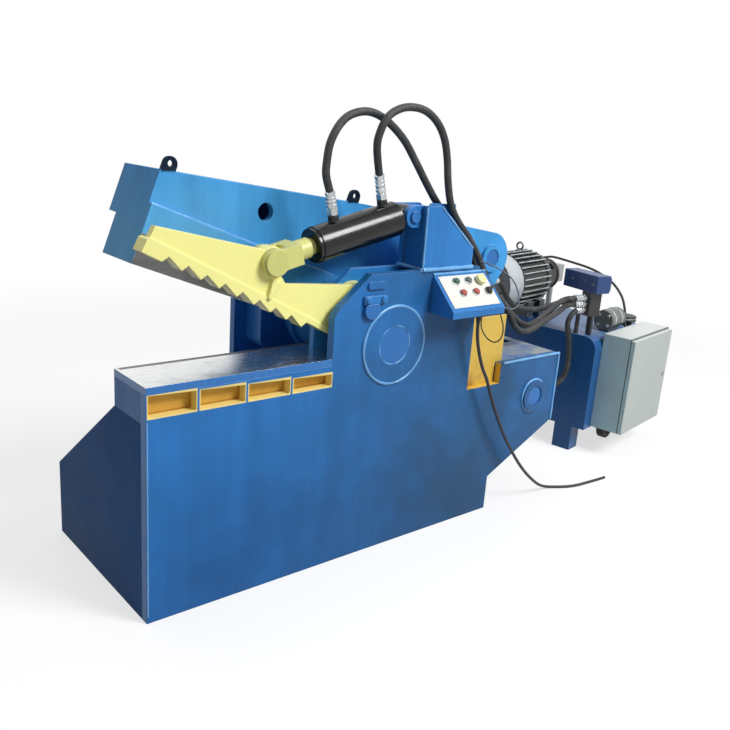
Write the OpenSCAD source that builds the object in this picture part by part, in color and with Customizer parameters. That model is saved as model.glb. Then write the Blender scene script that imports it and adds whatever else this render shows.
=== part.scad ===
// Hydraulic alligator shear with a hold-down clamp, an oil unit and a switch cabinet.
// Millimetres. X runs from the nose (-X) to the oil unit (+X), Y goes across the machine from
// the operator's side (-Y), Z is up. The origin is on the floor, under the jaw's main pivot.

/* [Bed] */
// Height of the cutting bed above the floor
bed_height = 720; // [600:5:870]
// Width of the bed across the machine
bed_width = 670; // [600:5:810]
// Distance from the main pivot to the nose of the bed
nose_reach = 880; // [740:5:1060]
// Distance from the main pivot to the rear wall of the bed
bed_rear = 555; // [500:5:580]
// Distance from the main pivot to the rear end of the rear box
rear_reach = 910; // [890:5:1000]
// Thickness of the two side plates
side_plate = 30; // [24:1:36]
// Wall of the welded bed box
bed_wall = 12; // [8:1:16]
// Width of the anvil, from the operator's side to the shear line
anvil_width = 202; // [190:1:214]
// Thickness of the steel plate on top of the bed
top_plate = 22; // [15:1:28]
// Depth of the chute's upper edge below the bed top
chute_drop = 110; // [100:1:125]
// Height of the vertical skirt below the chute
skirt_height = 260; // [160:5:320]

/* [Housing] */
// Distance from the main pivot to the front edge of the housing plates
housing_front = 256; // [236:1:276]
// Height of the housing plates above the bed top
housing_rise = 260; // [250:1:280]
// Height of the main pivot above the bed top
pivot_rise = 17; // [10:1:24]
// Diameter of the main pivot shaft
pivot_diameter = 130; // [108:1:138]
// Diameter of the welded ring around the near end of the shaft
pivot_ring_diameter = 262; // [220:2:290]
// Distance of the far housing plate from the far side of the bed
far_plate_inset = 80; // [60:1:95]
// Thickness of the inner cheek beside the clamp arm
cheek_thickness = 20; // [15:1:24]

/* [Blades] */
// Length of both blades
blade_length = 700; // [585:5:710]
// Height of both blades
blade_height = 90; // [75:1:100]
// Thickness of both blades
blade_thickness = 20; // [16:1:24]
// Gap between the two shearing faces
blade_gap = 0.4; // [0.1:0.1:0.8]
// Number of bolts in each blade
blade_bolts = 5; // [3:1:6]
// Thread diameter of the blade bolts
blade_bolt = 20; // [16:1:24]

/* [Jaw] */
// Opening angle of the jaw at rest
jaw_opening = 20.4; // [17:0.1:21]
// Width of the jaw box
jaw_width = 230; // [210:2:240]
// Thickness of the jaw's side webs
jaw_web = 25; // [20:1:30]
// Depth of the blade edge below the main pivot line
edge_drop = 26; // [20:1:30]
// Diameter of the tail pin
tail_pin_diameter = 70; // [58:1:84]
// Bore of the jaw hub, around its bush
hub_bore = 150; // [146:1:160]

/* [Main cylinder] */
// Outside diameter of the barrel
main_barrel = 168; // [150:1:174]
// Bore of the barrel
main_bore = 140; // [125:1:144]
// Diameter of the rod
main_rod_diameter = 90; // [75:1:100]
// Diameter of the lower pin in the rear box
rear_pin_diameter = 80; // [67:1:96]
// Radial play of the tail pin in the rod eye
tail_play = 4.2; // [4:0.1:6]

/* [Clamp] */
// Opening angle of the clamp arm at rest
arm_opening = 25.9; // [22:0.1:26]
// Thickness of the arm plate
arm_thickness = 46; // [40:1:50]
// Thickness of the arm's plate above the toothed band
arm_plate = 22; // [16:1:30]
// Diameter of the arm's pivot pin
arm_pin_diameter = 60; // [50:1:72]
// Number of teeth along the arm
arm_teeth = 9; // [7:1:10]
// Depth of each tooth
tooth_depth = 20; // [14:1:24]
// Outside diameter of the clamp cylinder
clamp_barrel = 114; // [104:1:118]
// Bore of the clamp cylinder
clamp_bore = 90; // [76:1:94]
// Diameter of the clamp cylinder's rod
clamp_rod_diameter = 50; // [42:1:58]
// Diameter of the pin through the rod's fork
fork_pin_diameter = 50; // [42:1:56]
// Radial play of the fork on its pin
fork_play = 3; // [2.8:0.1:4]
// Diameter of the pin in the tower's lug
lug_pin_diameter = 40; // [34:1:44]

/* [Controls] */
// Width of the control box
box_width = 254; // [240:2:300]
// Distance that the control box stands out
box_depth = 110; // [100:1:130]
// Diameter of the push-button caps
button_diameter = 22; // [18:1:24]
// Diameter of the mushroom button
mushroom_diameter = 38; // [32:1:40]

/* [Oil unit] */
// Angle at which the free-standing oil unit stands to the machine
unit_turn = 9.5; // [0:0.5:12]
// Length of the oil tank
tank_length = 520; // [440:5:600]
// Width of the oil tank
tank_width = 680; // [640:5:800]
// Radius of the tank's bent upper edges
tank_radius = 62; // [40:1:80]
// Width of the switch cabinet
cabinet_width = 436; // [380:2:520]
// Height of the switch cabinet
cabinet_height = 455; // [380:5:470]
// Depth of the switch cabinet with its door
cabinet_depth = 153; // [130:1:180]
// Diameter over the motor's fins
motor_diameter = 284; // [230:2:300]
// Number of cooling fins around the motor
motor_fins = 30; // [20:1:36]
// Diameter of the hydraulic hoses
hose_diameter = 25; // [21:1:28]
// Diameter of the loose control cable
cable_diameter = 12; // [10:1:14]

/* [Fits] */
// Radial clearance of shafts and pins in their bores
running_fit = 0.05; // [0.02:0.01:0.1]
// Side clearance between parts that turn past each other
side_fit = 0.5; // [0.3:0.1:1]

/* [Hidden] */
$fn = 64;

BLUE = [0.16, 0.42, 0.72];
YELLOW = [0.95, 0.90, 0.45];
STEEL = [0.62, 0.62, 0.60];
BLACK = [0.08, 0.08, 0.09];
GREY = [0.45, 0.47, 0.48];
WHITE = [0.88, 0.88, 0.84];
BRONZE = [0.72, 0.52, 0.25];

// Planes across the machine
near_face = -bed_width / 2;
near_inner = near_face + side_plate;
far_inner = bed_width / 2 - far_plate_inset;
shear_line = near_face + anvil_width;
cheek_near = near_face + 105;
cheek_far = cheek_near + cheek_thickness;
arm_middle = near_face + 75;
jaw_half = jaw_width / 2;
middle = near_face + 335;

// Heights
chute_top = bed_height - chute_drop;
pivot_z = bed_height + pivot_rise;
housing_top = bed_height + housing_rise;
rear_top = bed_height - 122;
recess_floor = bed_height - 200;
recess_rear = bed_rear + 5;
recess_front = 381;
liner_start = recess_front - 20;
liner_end = recess_rear + 32;
liner_thickness = 10;
liner_top = bed_height + 60;

// Jaw: angles and pins, all in the jaw's closed position
blade_start = -nose_reach + 10;
jaw_nose = -nose_reach + 9;
tail_closed = [560, 445];
tail_pin_place = turned(tail_closed, jaw_opening) + [0, pivot_z];
rear_pin_place = [775, bed_height - 282];
main_reach = norm(tail_pin_place - rear_pin_place);
main_lean = atan2(tail_pin_place[0] - rear_pin_place[0], tail_pin_place[1] - rear_pin_place[1]);

// Clamp: the arm's pivot, the fork pin on the arm and the lug pin on the tower
arm_pin_place = [-114, bed_height + 147];
fork_closed = [-378, -4];
fork_pin_place = turned(fork_closed, arm_opening) + arm_pin_place;
lug_pin_place = [70, bed_height + 434];
clamp_reach = norm(fork_pin_place - lug_pin_place);
clamp_lean = atan2(fork_pin_place[0] - lug_pin_place[0], fork_pin_place[1] - lug_pin_place[1]);
tooth_tip = -142;
tooth_end = -190;
arm_nose = -nose_reach + 112;
first_tooth = arm_nose + 65;
tooth_pitch = (tooth_end - first_tooth) / (arm_teeth - 1);

// Height of every port boss above its barrel, and the gap left to the hose in front of it
port_rise = 15;
port_gap = 0.5;

// Control box
box_start = 153;
box_top = housing_top - 18;
box_drop = 106;
box_lip = 24;
panel_angle = atan2(box_drop, box_depth);
panel_slope = norm([box_depth, box_drop]);
panel_sheet = 2;
box_wall = 4;

// Oil unit
unit_place = [1391, near_face + 149, 0];
tank_top = bed_height - 154;
tank_bottom = bed_height - 600;
cabinet_start = 70;
cabinet_bottom = bed_height - 595;
door_depth = 18;
sheet = 2;
shaft_z = tank_top + 185;
shaft_y = 500;
rail_height = 25;
cowl_start = -204;
FOOT_PLACES = [10, 118];
frame_start = -95;
frame_end = 213;
pump_start = 375;
valve_place = [-11, 32];
valve_turn = -20;
valve_bottom = tank_top + 202;
manifold_start = 29;
manifold_size = [67, 57, 110];
wheel_radius = tank_bottom / 2 - 4;

// Hose routes: points chosen by hand as [along, in from the near face, above the bed top].
// The ends are worked out from the ports, further down.
FRONT_HOSE = [
    [-257, 75, 515], [-262, 76, 555], [-262, 77, 592], [-253, 77, 649], [-225, 77, 700],
    [-186, 77, 733], [-130, 77, 748], [-76, 77, 742], [-18, 77, 715], [44, 77, 669],
    [98, 77, 608], [154, 77, 540], [208, 78, 480], [264, 80, 432], [330, 84, 386],
    [398, 90, 325], [450, 96, 255], [500, 103, 185], [560, 110, 130], [630, 118, 88],
    [700, 138, 62], [745, 156, 38], [779, 163, 15], [826, 167, -15], [872, 169, -38],
    [920, 171, -47], [997, 183, -29], [1094, 205, -3], [1189, 236, 14], [1260, 254, 19]
];
REAR_HOSE = [
    [-54, 73, 520], [-66, 71, 557], [-79, 65, 600], [-86, 57, 645], [-84, 49, 693],
    [-60, 45, 738], [-13, 45, 764], [43, 45, 772], [100, 43, 762], [150, 41, 730],
    [185, 39, 681], [205, 38, 618], [217, 37, 549], [236, 37, 484], [262, 38, 440],
    [300, 40, 400], [345, 43, 362], [390, 49, 318], [425, 54, 282], [463, 60, 234],
    [500, 66, 190], [560, 76, 140], [620, 86, 95], [680, 98, 50], [727, 110, 4],
    [772, 120, -34], [834, 127, -57], [890, 131, -50], [966, 143, -32], [1049, 163, -19],
    [1150, 197, -10], [1240, 238, -7]
];
TOP_HOSE = [
    [890, 338, 104], [928, 340, 66], [966, 340, 22], [1020, 336, -14], [1100, 330, -30],
    [1190, 326, -32]
];
BOTTOM_HOSE = [
    [757, 466, -176], [782, 489, -190], [836, 496, -232], [903, 488, -290],
    [985, 468, -335], [1070, 430, -372], [1150, 380, -398], [1225, 322, -408],
    [1285, 276, -398], [1322, 256, -362], [1338, 251, -308], [1336, 251, -240],
    [1322, 252, -172], [1305, 254, -126], [1299, 254, -98], [1304, 252, -70], [1319, 248, -49],
    [1341, 243, -38]
];
// The loose cable: the height is a share of the control box's height above the floor
CABLE = [
    [345, 50, 1], [345.8, 50, 0.94], [352, 50, 0.88], [370, 50, 0.81], [396, 50, 0.74],
    [427, 50, 0.68], [468, 50, 0.58], [514, 50, 0.48], [564, 50, 0.385], [624, 49, 0.29],
    [694, 46, 0.195], [762, 41, 0.12], [842, 32, 0.05], [910, 22, 0.01], [962, 38, 0],
    [1012, 64, 0], [1064, 78, 0], [1124, 84, 0], [1185, 89, 0], [1243, 92, 0]
];
// The motor's cable: points on the oil unit, above the tank
MOTOR_CABLE = [
    [189.5, 670, 199], [204, 670, 199], [218, 670, 199], [262, 665, 200], [330, 648, 206],
    [392, 620, 222], [430, 586, 243], [442, 540, 260], [441, 494, 266], [433, 390, 257],
    [418, 298, 248], [400, 229, 236], [384, 170, 218], [368, 122, 197], [354, 82, 168],
    [344, 52, 134], [335, 30, 85], [332, 22, 40], [331, 14, 14], [330, 2, -2], [330, -16, -6]
];

// A point in the XZ plane, turned about the origin so that the nose side rises
function turned(p, angle) = [
    p[0] * cos(angle) + p[1] * sin(angle),
    p[1] * cos(angle) - p[0] * sin(angle)
];

// A route point of the machine, and one of the oil unit, in the machine's frame
function on_machine(p) = [p[0], near_face + p[1], bed_height + p[2]];
function on_oil_unit(p) = unit_place + [
    p[0] * cos(unit_turn) - p[1] * sin(unit_turn),
    p[0] * sin(unit_turn) + p[1] * cos(unit_turn),
    tank_top + p[2]
];

// A place in the valve stack's own frame, with its height above the tank
function on_valves(p) = on_oil_unit([
    valve_place[0] + p[0] * cos(valve_turn) - p[1] * sin(valve_turn),
    valve_place[1] + p[0] * sin(valve_turn) + p[1] * cos(valve_turn),
    p[2]
]);

// A place on a port's centre line, the given distance out of its face
function clamp_port(along, out) = [
    lug_pin_place[0] + along * sin(clamp_lean) + (clamp_barrel / 2 + port_rise + out) * cos(clamp_lean),
    arm_middle,
    lug_pin_place[1] + along * cos(clamp_lean) - (clamp_barrel / 2 + port_rise + out) * sin(clamp_lean)
];
function main_port_place(along, out) = [
    rear_pin_place[0] + along * sin(main_lean) + out * cos(main_lean),
    middle,
    rear_pin_place[1] + along * cos(main_lean) - out * sin(main_lean)
];
function manifold_port(out, height) =
    on_valves([-out, manifold_start + manifold_size[1] / 2, height]);

// A smooth curve through the points, with the given number of steps between two of them
function curve_point(a, b, c, d, t) = 0.5 * (
    2 * b + (c - a) * t + (2 * a - 5 * b + 4 * c - d) * t * t
    + (3 * b - a - 3 * c + d) * t * t * t
);
function smooth(p, steps) = [
    for (i = [0 : len(p) - 2])
        for (s = [0 : steps - 1])
            curve_point(p[max(i - 1, 0)], p[i], p[i + 1], p[min(i + 2, len(p) - 1)], s / steps),
    p[len(p) - 1]
];
function unit_of(v) = v / norm(v);

// A round cord swept through the points; side is a direction that the cord never follows
module cord(points, diameter, sides, side) {
    n = len(points);
    along = [for (i = [0 : n - 1]) unit_of(points[min(i + 1, n - 1)] - points[max(i - 1, 0)])];
    across = [for (t = along) unit_of(cross(side, t))];
    ring_points = [
        for (i = [0 : n - 1])
            for (k = [0 : sides - 1])
                points[i] + diameter / 2 * (
                    across[i] * cos(360 * k / sides)
                    + cross(along[i], across[i]) * sin(360 * k / sides)
                )
    ];
    walls = [
        for (i = [0 : n - 2])
            for (k = [0 : sides - 1])
                [
                    i * sides + k,
                    (i + 1) * sides + k,
                    (i + 1) * sides + (k + 1) % sides,
                    i * sides + (k + 1) % sides
                ]
    ];
    first_end = [for (k = [0 : sides - 1]) k];
    last_end = [for (k = [sides - 1 : -1 : 0]) (n - 1) * sides + k];
    polyhedron(ring_points, concat([first_end], walls, [last_end]));
}

// A flat plate whose outline is drawn in X and Z, from one Y plane to a second one
module plate_xz(from, to) {
    translate([0, to, 0])
        rotate([90, 0, 0])
            linear_extrude(to - from)
                children();
}

// A bar whose section is drawn in Y and Z, from one X plane to a second one
module bar_x(from, to) {
    translate([from, 0, 0])
        rotate([90, 0, 90])
            linear_extrude(to - from)
                children();
}

// A round pin or bore across the machine, centred on a point of the XZ plane
module pin_y(place, diameter, from, to) {
    translate([place[0], to, place[1]])
        rotate([90, 0, 0])
            cylinder(d = diameter, h = to - from);
}

// A rectangle with round corners, its lower left corner at the origin
module round_rectangle(width, height, radius) {
    translate([radius, 0])
        square([width - 2 * radius, height]);
    translate([0, radius])
        square([width, height - 2 * radius]);
    for (x = [radius, width - radius])
        for (y = [radius, height - radius])
            translate([x, y])
                circle(radius);
}

module jaw_frame() {
    translate([0, 0, pivot_z])
        rotate([0, jaw_opening, 0])
            children();
}

module arm_frame() {
    translate([arm_pin_place[0], 0, arm_pin_place[1]])
        rotate([0, arm_opening, 0])
            children();
}

// The main cylinder stands on the rear pin with its own Z along the rod
module main_cylinder_frame() {
    translate([rear_pin_place[0], middle, rear_pin_place[1]])
        rotate([0, main_lean, 0])
            children();
}

// The clamp cylinder hangs on the lug pin with its own Z along the rod and its X on top
module clamp_cylinder_frame() {
    translate([lug_pin_place[0], arm_middle, lug_pin_place[1]])
        rotate([0, clamp_lean, 0])
            children();
}

// A place on the sloping control panel: X along it, Y up the slope, Z out of it
module panel_frame(x, down) {
    translate([box_start + x, near_face, box_top])
        rotate([panel_angle, 0, 0])
            translate([0, -down, 0])
                children();
}

module unit_frame() {
    translate(unit_place)
        rotate([0, 0, unit_turn])
            children();
}

// The manifold and its valves are turned a little on the tank
module valve_frame() {
    translate(valve_place)
        rotate([0, 0, valve_turn])
            children();
}

// The motor's shaft line, with Z along it towards the pump
module motor_frame_place() {
    unit_frame()
        translate([0, shaft_y, shaft_z])
            rotate([0, 90, 0])
                children();
}

// ---------------------------------------------------------------- bed and housing

// The front corner of a housing plate, from its foot to its top edge
function housing_corner(foot) = [
    [recess_front, housing_top], [-118, housing_top], [-140, housing_top - 20],
    [-235, bed_height + 161], [-housing_front, bed_height + 132], [-housing_front, foot]
];

module bed_frame() {
    far = bed_width / 2;
    color(BLUE)
        difference() {
            bar_x(-nose_reach, bed_rear)
                polygon([
                    [near_inner, 0], [far, 0], [far, skirt_height],
                    [shear_line, chute_top], [near_inner, chute_top]
                ]);
            bar_x(-nose_reach + bed_wall, bed_rear - bed_wall)
                polygon([
                    [near_inner - 1, bed_wall], [far - bed_wall, bed_wall],
                    [far - bed_wall, skirt_height - 8],
                    [shear_line - 5, chute_top - bed_wall], [near_inner - 1, chute_top - bed_wall]
                ]);
            translate([liner_start, near_inner - 1, chute_top - bed_wall - 1])
                cube([bed_rear - bed_wall - liner_start, liner_thickness + 1, bed_wall + 2]);
        }
}

// The row of windows along the bed, cut through one wall; it gets lower towards the housing
module bed_windows(from, to) {
    web = 14;
    start = -nose_reach + 7;
    width = (nose_reach - housing_front + 1 - 4 * web + 7) / 4;
    intersection() {
        for (i = [0 : 3])
            plate_xz(from, to)
                translate([start + i * (width + web), bed_height - 88])
                    round_rectangle(width, 70, 7);
        plate_xz(from - 1, to + 1)
            polygon([
                [-nose_reach, bed_height - 100], [-housing_front + 20, bed_height - 100],
                [-housing_front + 20, bed_height - 51], [-nose_reach, bed_height - 24]
            ]);
    }
}

module near_side_plate() {
    plate_foot = bed_height - top_plate;
    color(BLUE) {
        difference() {
            union() {
                plate_xz(near_face, near_inner)
                    polygon(concat(
                        [
                            [-nose_reach, plate_foot], [-nose_reach, 0], [bed_rear, 0],
                            [bed_rear, 135], [rear_reach, rear_top - 286],
                            [rear_reach, rear_top], [recess_rear, rear_top],
                            [recess_rear, recess_floor], [recess_front, recess_floor]
                        ],
                        housing_corner(plate_foot)
                    ));
                pin_y([0, pivot_z], pivot_ring_diameter, near_face - 4, near_face);
                pin_y(rear_pin_place, rear_pin_diameter + 50, near_face - 12, near_face);
                plate_xz(near_face - 7, near_face)
                    translate([-132, bed_height + 212])
                        round_rectangle(76, 24, 11);
            }
            bed_windows(near_face - 1, near_inner + 1);
            pin_y([0, pivot_z], pivot_diameter + 2 * running_fit, near_face - 10, near_inner + 1);
            pin_y(arm_pin_place, arm_pin_diameter + 2 * running_fit, near_face - 1, near_inner + 1);
            pin_y(
                rear_pin_place, rear_pin_diameter + 2 * running_fit,
                near_face - 20, near_inner + 1
            );
        }
    }
}

module far_side_plate() {
    outer = far_inner + side_plate;
    color(BLUE)
        difference() {
            plate_xz(far_inner, outer)
                polygon(concat(
                    [
                        [-housing_front, skirt_height], [bed_rear, skirt_height],
                        [bed_rear, 135], [rear_reach, rear_top - 286],
                        [rear_reach, rear_top], [recess_rear, rear_top],
                        [recess_front, rear_top + 180]
                    ],
                    housing_corner(skirt_height)
                ));
            bar_x(-nose_reach, bed_rear)
                polygon([
                    [near_inner, 0], [bed_width / 2, 0], [bed_width / 2, skirt_height],
                    [shear_line, chute_top], [near_inner, chute_top]
                ]);
            pin_y([0, pivot_z], pivot_diameter + 2 * running_fit, far_inner - 1, outer + 1);
            pin_y(rear_pin_place, rear_pin_diameter + 2 * running_fit, far_inner - 1, outer + 1);
        }
}

// The box behind the bed, with the two cheeks that carry the main cylinder
module rear_box() {
    low = rear_top - 286;
    color(BLUE)
        difference() {
            union() {
                plate_xz(near_inner, far_inner)
                    difference() {
                        polygon([
                            [bed_rear, 135], [rear_reach, low],
                            [rear_reach, rear_top], [bed_rear, rear_top]
                        ]);
                        polygon([
                            [bed_rear - 1, 149], [rear_reach - 14, low + 14],
                            [rear_reach - 14, rear_top - 12], [bed_rear - 1, rear_top - 12]
                        ]);
                    }
                for (y = [middle - 85, middle + 60])
                    plate_xz(y, y + 25)
                        intersection() {
                            polygon([
                                [bed_rear, 142], [rear_reach, low + 7],
                                [rear_reach, rear_top], [bed_rear, rear_top]
                            ]);
                            union() {
                                translate(rear_pin_place)
                                    circle(58);
                                translate(rear_pin_place - [58, 400])
                                    square([116, 400]);
                            }
                        }
            }
            translate([bed_rear + 65, middle - 122, rear_top - 20])
                cube([245, 244, 40]);
            pin_y(
                rear_pin_place, rear_pin_diameter + 2 * running_fit,
                middle - 90, middle + 90
            );
            translate([rear_reach - 30, middle + 153, bed_height - 290])
                rotate([0, 90, 0])
                    cylinder(d = hose_diameter + 30, h = 60);
        }
}

module anvil_beam() {
    color(YELLOW)
        difference() {
            translate([-nose_reach, near_inner, chute_top])
                cube([
                    nose_reach - 150, shear_line - near_inner,
                    chute_drop - top_plate
                ]);
            bed_windows(near_inner - 1, near_inner + 90);
            translate([blade_start, shear_line - blade_thickness, bed_height - blade_height])
                cube([blade_length, blade_thickness + 1, blade_height]);
            blade_bolt_row(shear_line - 70, shear_line - blade_thickness, blade_bolt);
        }
}

// Round bars along the middle of the lower blade
module blade_bolt_row(from, to, diameter) {
    step = blade_length / blade_bolts;
    for (i = [0 : blade_bolts - 1])
        pin_y(
            [blade_start + step * (i + 0.5), bed_height - blade_height / 2 - 10],
            diameter, from, to
        );
}

module bed_top() {
    color(STEEL)
        translate([0, 0, bed_height - top_plate])
            linear_extrude(top_plate)
                polygon([
                    [-nose_reach, near_face], [-housing_front, near_face],
                    [-housing_front, near_inner], [-150, near_inner],
                    [-150, cheek_near], [-housing_front, cheek_near],
                    [-housing_front, cheek_far], [-150, cheek_far],
                    [-150, shear_line], [blade_start + blade_length, shear_line],
                    [blade_start + blade_length, shear_line - blade_thickness],
                    [blade_start, shear_line - blade_thickness],
                    [blade_start, shear_line], [-nose_reach, shear_line]
                ]);
}

module lower_blade() {
    color(GREY)
        difference() {
            translate([blade_start, shear_line - blade_thickness, bed_height - blade_height])
                cube([blade_length, blade_thickness, blade_height]);
            blade_bolt_row(shear_line - 30, shear_line + 1, blade_bolt);
            blade_bolt_row(shear_line - 12, shear_line + 1, 1.6 * blade_bolt);
        }
}

module lower_blade_bolts() {
    color(STEEL) {
        blade_bolt_row(shear_line - 70, shear_line - 12, blade_bolt);
        blade_bolt_row(shear_line - 12, shear_line - 2, 1.6 * blade_bolt);
    }
}

// It stands in a slot of the bed's top plate
module inner_cheek() {
    foot = bed_height - top_plate;
    color(BLUE)
        difference() {
            plate_xz(cheek_near, cheek_far)
                polygon(concat(
                    [[-150, foot], [-150, chute_top], [recess_front, chute_top]],
                    housing_corner(foot)
                ));
            pin_y([0, pivot_z], pivot_diameter + 2 * running_fit, cheek_near - 1, cheek_far + 1);
            pin_y(arm_pin_place, arm_pin_diameter + 2 * running_fit, cheek_near - 1, cheek_far + 1);
        }
}

// The painted plate behind the tall opening in the near side
module recess_liner() {
    color(YELLOW)
        plate_xz(near_inner, near_inner + liner_thickness)
            polygon([
                [liner_start, recess_floor - 20], [bed_rear - bed_wall, recess_floor - 20],
                [bed_rear - bed_wall, chute_top], [bed_rear, chute_top], [bed_rear, rear_top],
                [liner_end, rear_top], [liner_end, liner_top],
                [liner_start, liner_top]
            ]);
}

// The welded bracket on the housing that carries the clamp cylinder
module tower() {
    front = 100;
    crown = housing_top + 210;
    back = 335;
    slope_top = 165;
    slope_foot = housing_top + 65;
    color(BLUE)
        difference() {
            union() {
                for (y = [near_face, cheek_far - 20])
                    plate_xz(y, y + 20)
                        polygon([
                            [front, housing_top], [front, crown], [slope_top, crown],
                            [back, slope_foot], [back, housing_top]
                        ]);
                plate_xz(near_face + 20, cheek_far - 20)
                    polygon([
                        [front + 10, housing_top], [front + 10, crown - 10],
                        [slope_top, crown - 10], [back - 10, slope_foot],
                        [back - 10, housing_top], [back - 22, housing_top],
                        [back - 22, slope_foot - 5], [slope_top - 6, crown - 22],
                        [front + 28, crown - 22], [front + 28, housing_top]
                    ]);
                for (y = [arm_middle - 50, arm_middle + 30])
                    plate_xz(y, y + 20) {
                        translate(lug_pin_place)
                            circle(36);
                        translate([lug_pin_place[0], lug_pin_place[1] - 36])
                            square([front + 12 - lug_pin_place[0], 72]);
                    }
                // plate that keeps the hoses apart on their way down
                plate_xz(near_face + 51, near_face + 59)
                    polygon([
                        [150, crown - 12], [168, crown + 4], [282, crown], [282, crown - 18],
                        [228, crown - 78]
                    ]);
            }
            pin_y(lug_pin_place, lug_pin_diameter + 2 * running_fit, arm_middle - 60, arm_middle + 60);
        }
}

module keeper_plate() {
    color(BLUE)
        difference() {
            plate_xz(near_face - 10, near_face)
                translate([-146, bed_height + 166])
                    square([92, 26]);
            for (x = [-132, -68])
                pin_y([x, bed_height + 179], 10.2, near_face - 11, near_face + 1);
        }
}

module pivot_shaft() {
    color(STEEL)
        pin_y([0, pivot_z], pivot_diameter, near_face - 2, far_inner + side_plate + 8);
}

// The heavy block inside the far plate that carries the shaft beside the jaw
module bearing_block() {
    color(BLUE)
        difference() {
            plate_xz(far_inner - 100, far_inner)
                translate([-206, chute_top + 10])
                    round_rectangle(412, 270, 40);
            pin_y(
                [0, pivot_z], pivot_diameter + 2 * running_fit,
                far_inner - 101, far_inner + 1
            );
        }
}

module rear_pin() {
    color(STEEL)
        pin_y(rear_pin_place, rear_pin_diameter, near_face - 8, far_inner + side_plate + 8);
}

// ---------------------------------------------------------------- jaw

// The side web, drawn in the jaw's closed position around the main pivot
module jaw_web_outline() {
    difference() {
        union() {
            polygon([
                [jaw_nose, 100], [jaw_nose, 247], [-130, 415], [541, 543],
                [659, 434], [600, 205], [90, -79], [-60, -104], [-100, 100]
            ]);
            circle(120);
            translate(tail_closed)
                circle(100);
        }
        circle(d = hub_bore);
        translate([-499, 256])
            circle(28);
        translate(tail_closed)
            circle(d = tail_pin_diameter + 2 * running_fit);
    }
}

module upper_jaw() {
    seat = shear_line + blade_gap;
    lower_far = middle + 65;
    hub_near = cheek_far + side_fit + 4;
    hub_far = far_inner - 100 - side_fit;
    color(BLUE)
        jaw_frame()
            difference() {
                union() {
                    for (y = [middle - jaw_half, middle + jaw_half - jaw_web])
                        plate_xz(y, y + jaw_web)
                            jaw_web_outline();
                    // top, nose and blade seat close the box between the webs
                    plate_xz(middle - jaw_half + jaw_web, middle + jaw_half - jaw_web)
                        polygon([
                            [jaw_nose, 100], [jaw_nose, 247], [-130, 415], [541, 543],
                            [541, 523], [-130, 395], [jaw_nose + 14, 230], [jaw_nose + 14, 100]
                        ]);
                    plate_xz(seat, lower_far)
                        polygon([
                            [jaw_nose, -edge_drop], [jaw_nose, 100], [-60, 100],
                            [-60, -edge_drop]
                        ]);
                    plate_xz(seat, middle - jaw_half)
                        polygon([
                            [jaw_nose, 95], [jaw_nose, 150], [-140, 150], [-110, 95]
                        ]);
                    difference() {
                        pin_y([0, 0], 208, hub_near, hub_far);
                        pin_y([0, 0], hub_bore, hub_near - 1, hub_far + 1);
                    }
                    for (y = [middle - jaw_half - 12, middle + jaw_half])
                        plate_xz(y, y + 12)
                            translate(tail_closed)
                                difference() {
                                    circle(d = tail_pin_diameter + 40);
                                    circle(d = tail_pin_diameter + 2 * running_fit);
                                }
                    for (eye = [[-846, 250], [-186, 400]])
                        plate_xz(middle - jaw_half, middle - jaw_half + 12)
                            translate(eye)
                                difference() {
                                    union() {
                                        translate([0, 22])
                                            circle(22);
                                        translate([-22, -10])
                                            square([44, 32]);
                                    }
                                    translate([0, 24])
                                        circle(9);
                                }
                }
                pin_y([0, 0], hub_bore, hub_near - 1, hub_far + 1);
                translate([blade_start, seat - 1, -edge_drop - 1])
                    cube([blade_length, blade_thickness + 1, blade_height + 1]);
                upper_bolt_row(seat, seat + 60, blade_bolt);
            }
}

// Round bars along the middle of the upper blade, in the jaw's closed position
module upper_bolt_row(from, to, diameter) {
    step = blade_length / blade_bolts;
    for (i = [0 : blade_bolts - 1])
        pin_y(
            [blade_start + step * (i + 0.5), blade_height / 2 - edge_drop + 8],
            diameter, from, to
        );
}

module upper_blade() {
    seat = shear_line + blade_gap;
    color(GREY)
        jaw_frame()
            difference() {
                translate([blade_start, seat, -edge_drop])
                    cube([blade_length, blade_thickness, blade_height]);
                upper_bolt_row(seat - 1, seat + 30, blade_bolt);
                upper_bolt_row(seat - 1, seat + 12, 1.6 * blade_bolt);
            }
}

module upper_blade_bolts() {
    seat = shear_line + blade_gap;
    color(STEEL)
        jaw_frame() {
            upper_bolt_row(seat + 12, seat + 60, blade_bolt);
            upper_bolt_row(seat + 2, seat + 12, 1.6 * blade_bolt);
        }
}

module jaw_bush() {
    color(BRONZE)
        jaw_frame()
            difference() {
                pin_y([0, 0], hub_bore, cheek_far + side_fit + 4, far_inner - 100 - side_fit);
                pin_y(
                    [0, 0], pivot_diameter + 2 * running_fit,
                    cheek_far, far_inner
                );
            }
}

module tail_pin() {
    color(STEEL)
        jaw_frame()
            pin_y(
                tail_closed, tail_pin_diameter,
                middle - jaw_half - 9, middle + jaw_half + 9
            );
}

// ---------------------------------------------------------------- main cylinder

main_floor = 85;
main_low_port = 110;
main_high_port = 375;
main_head = 420;
main_piston = 92;
piston_height = 48;

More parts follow.
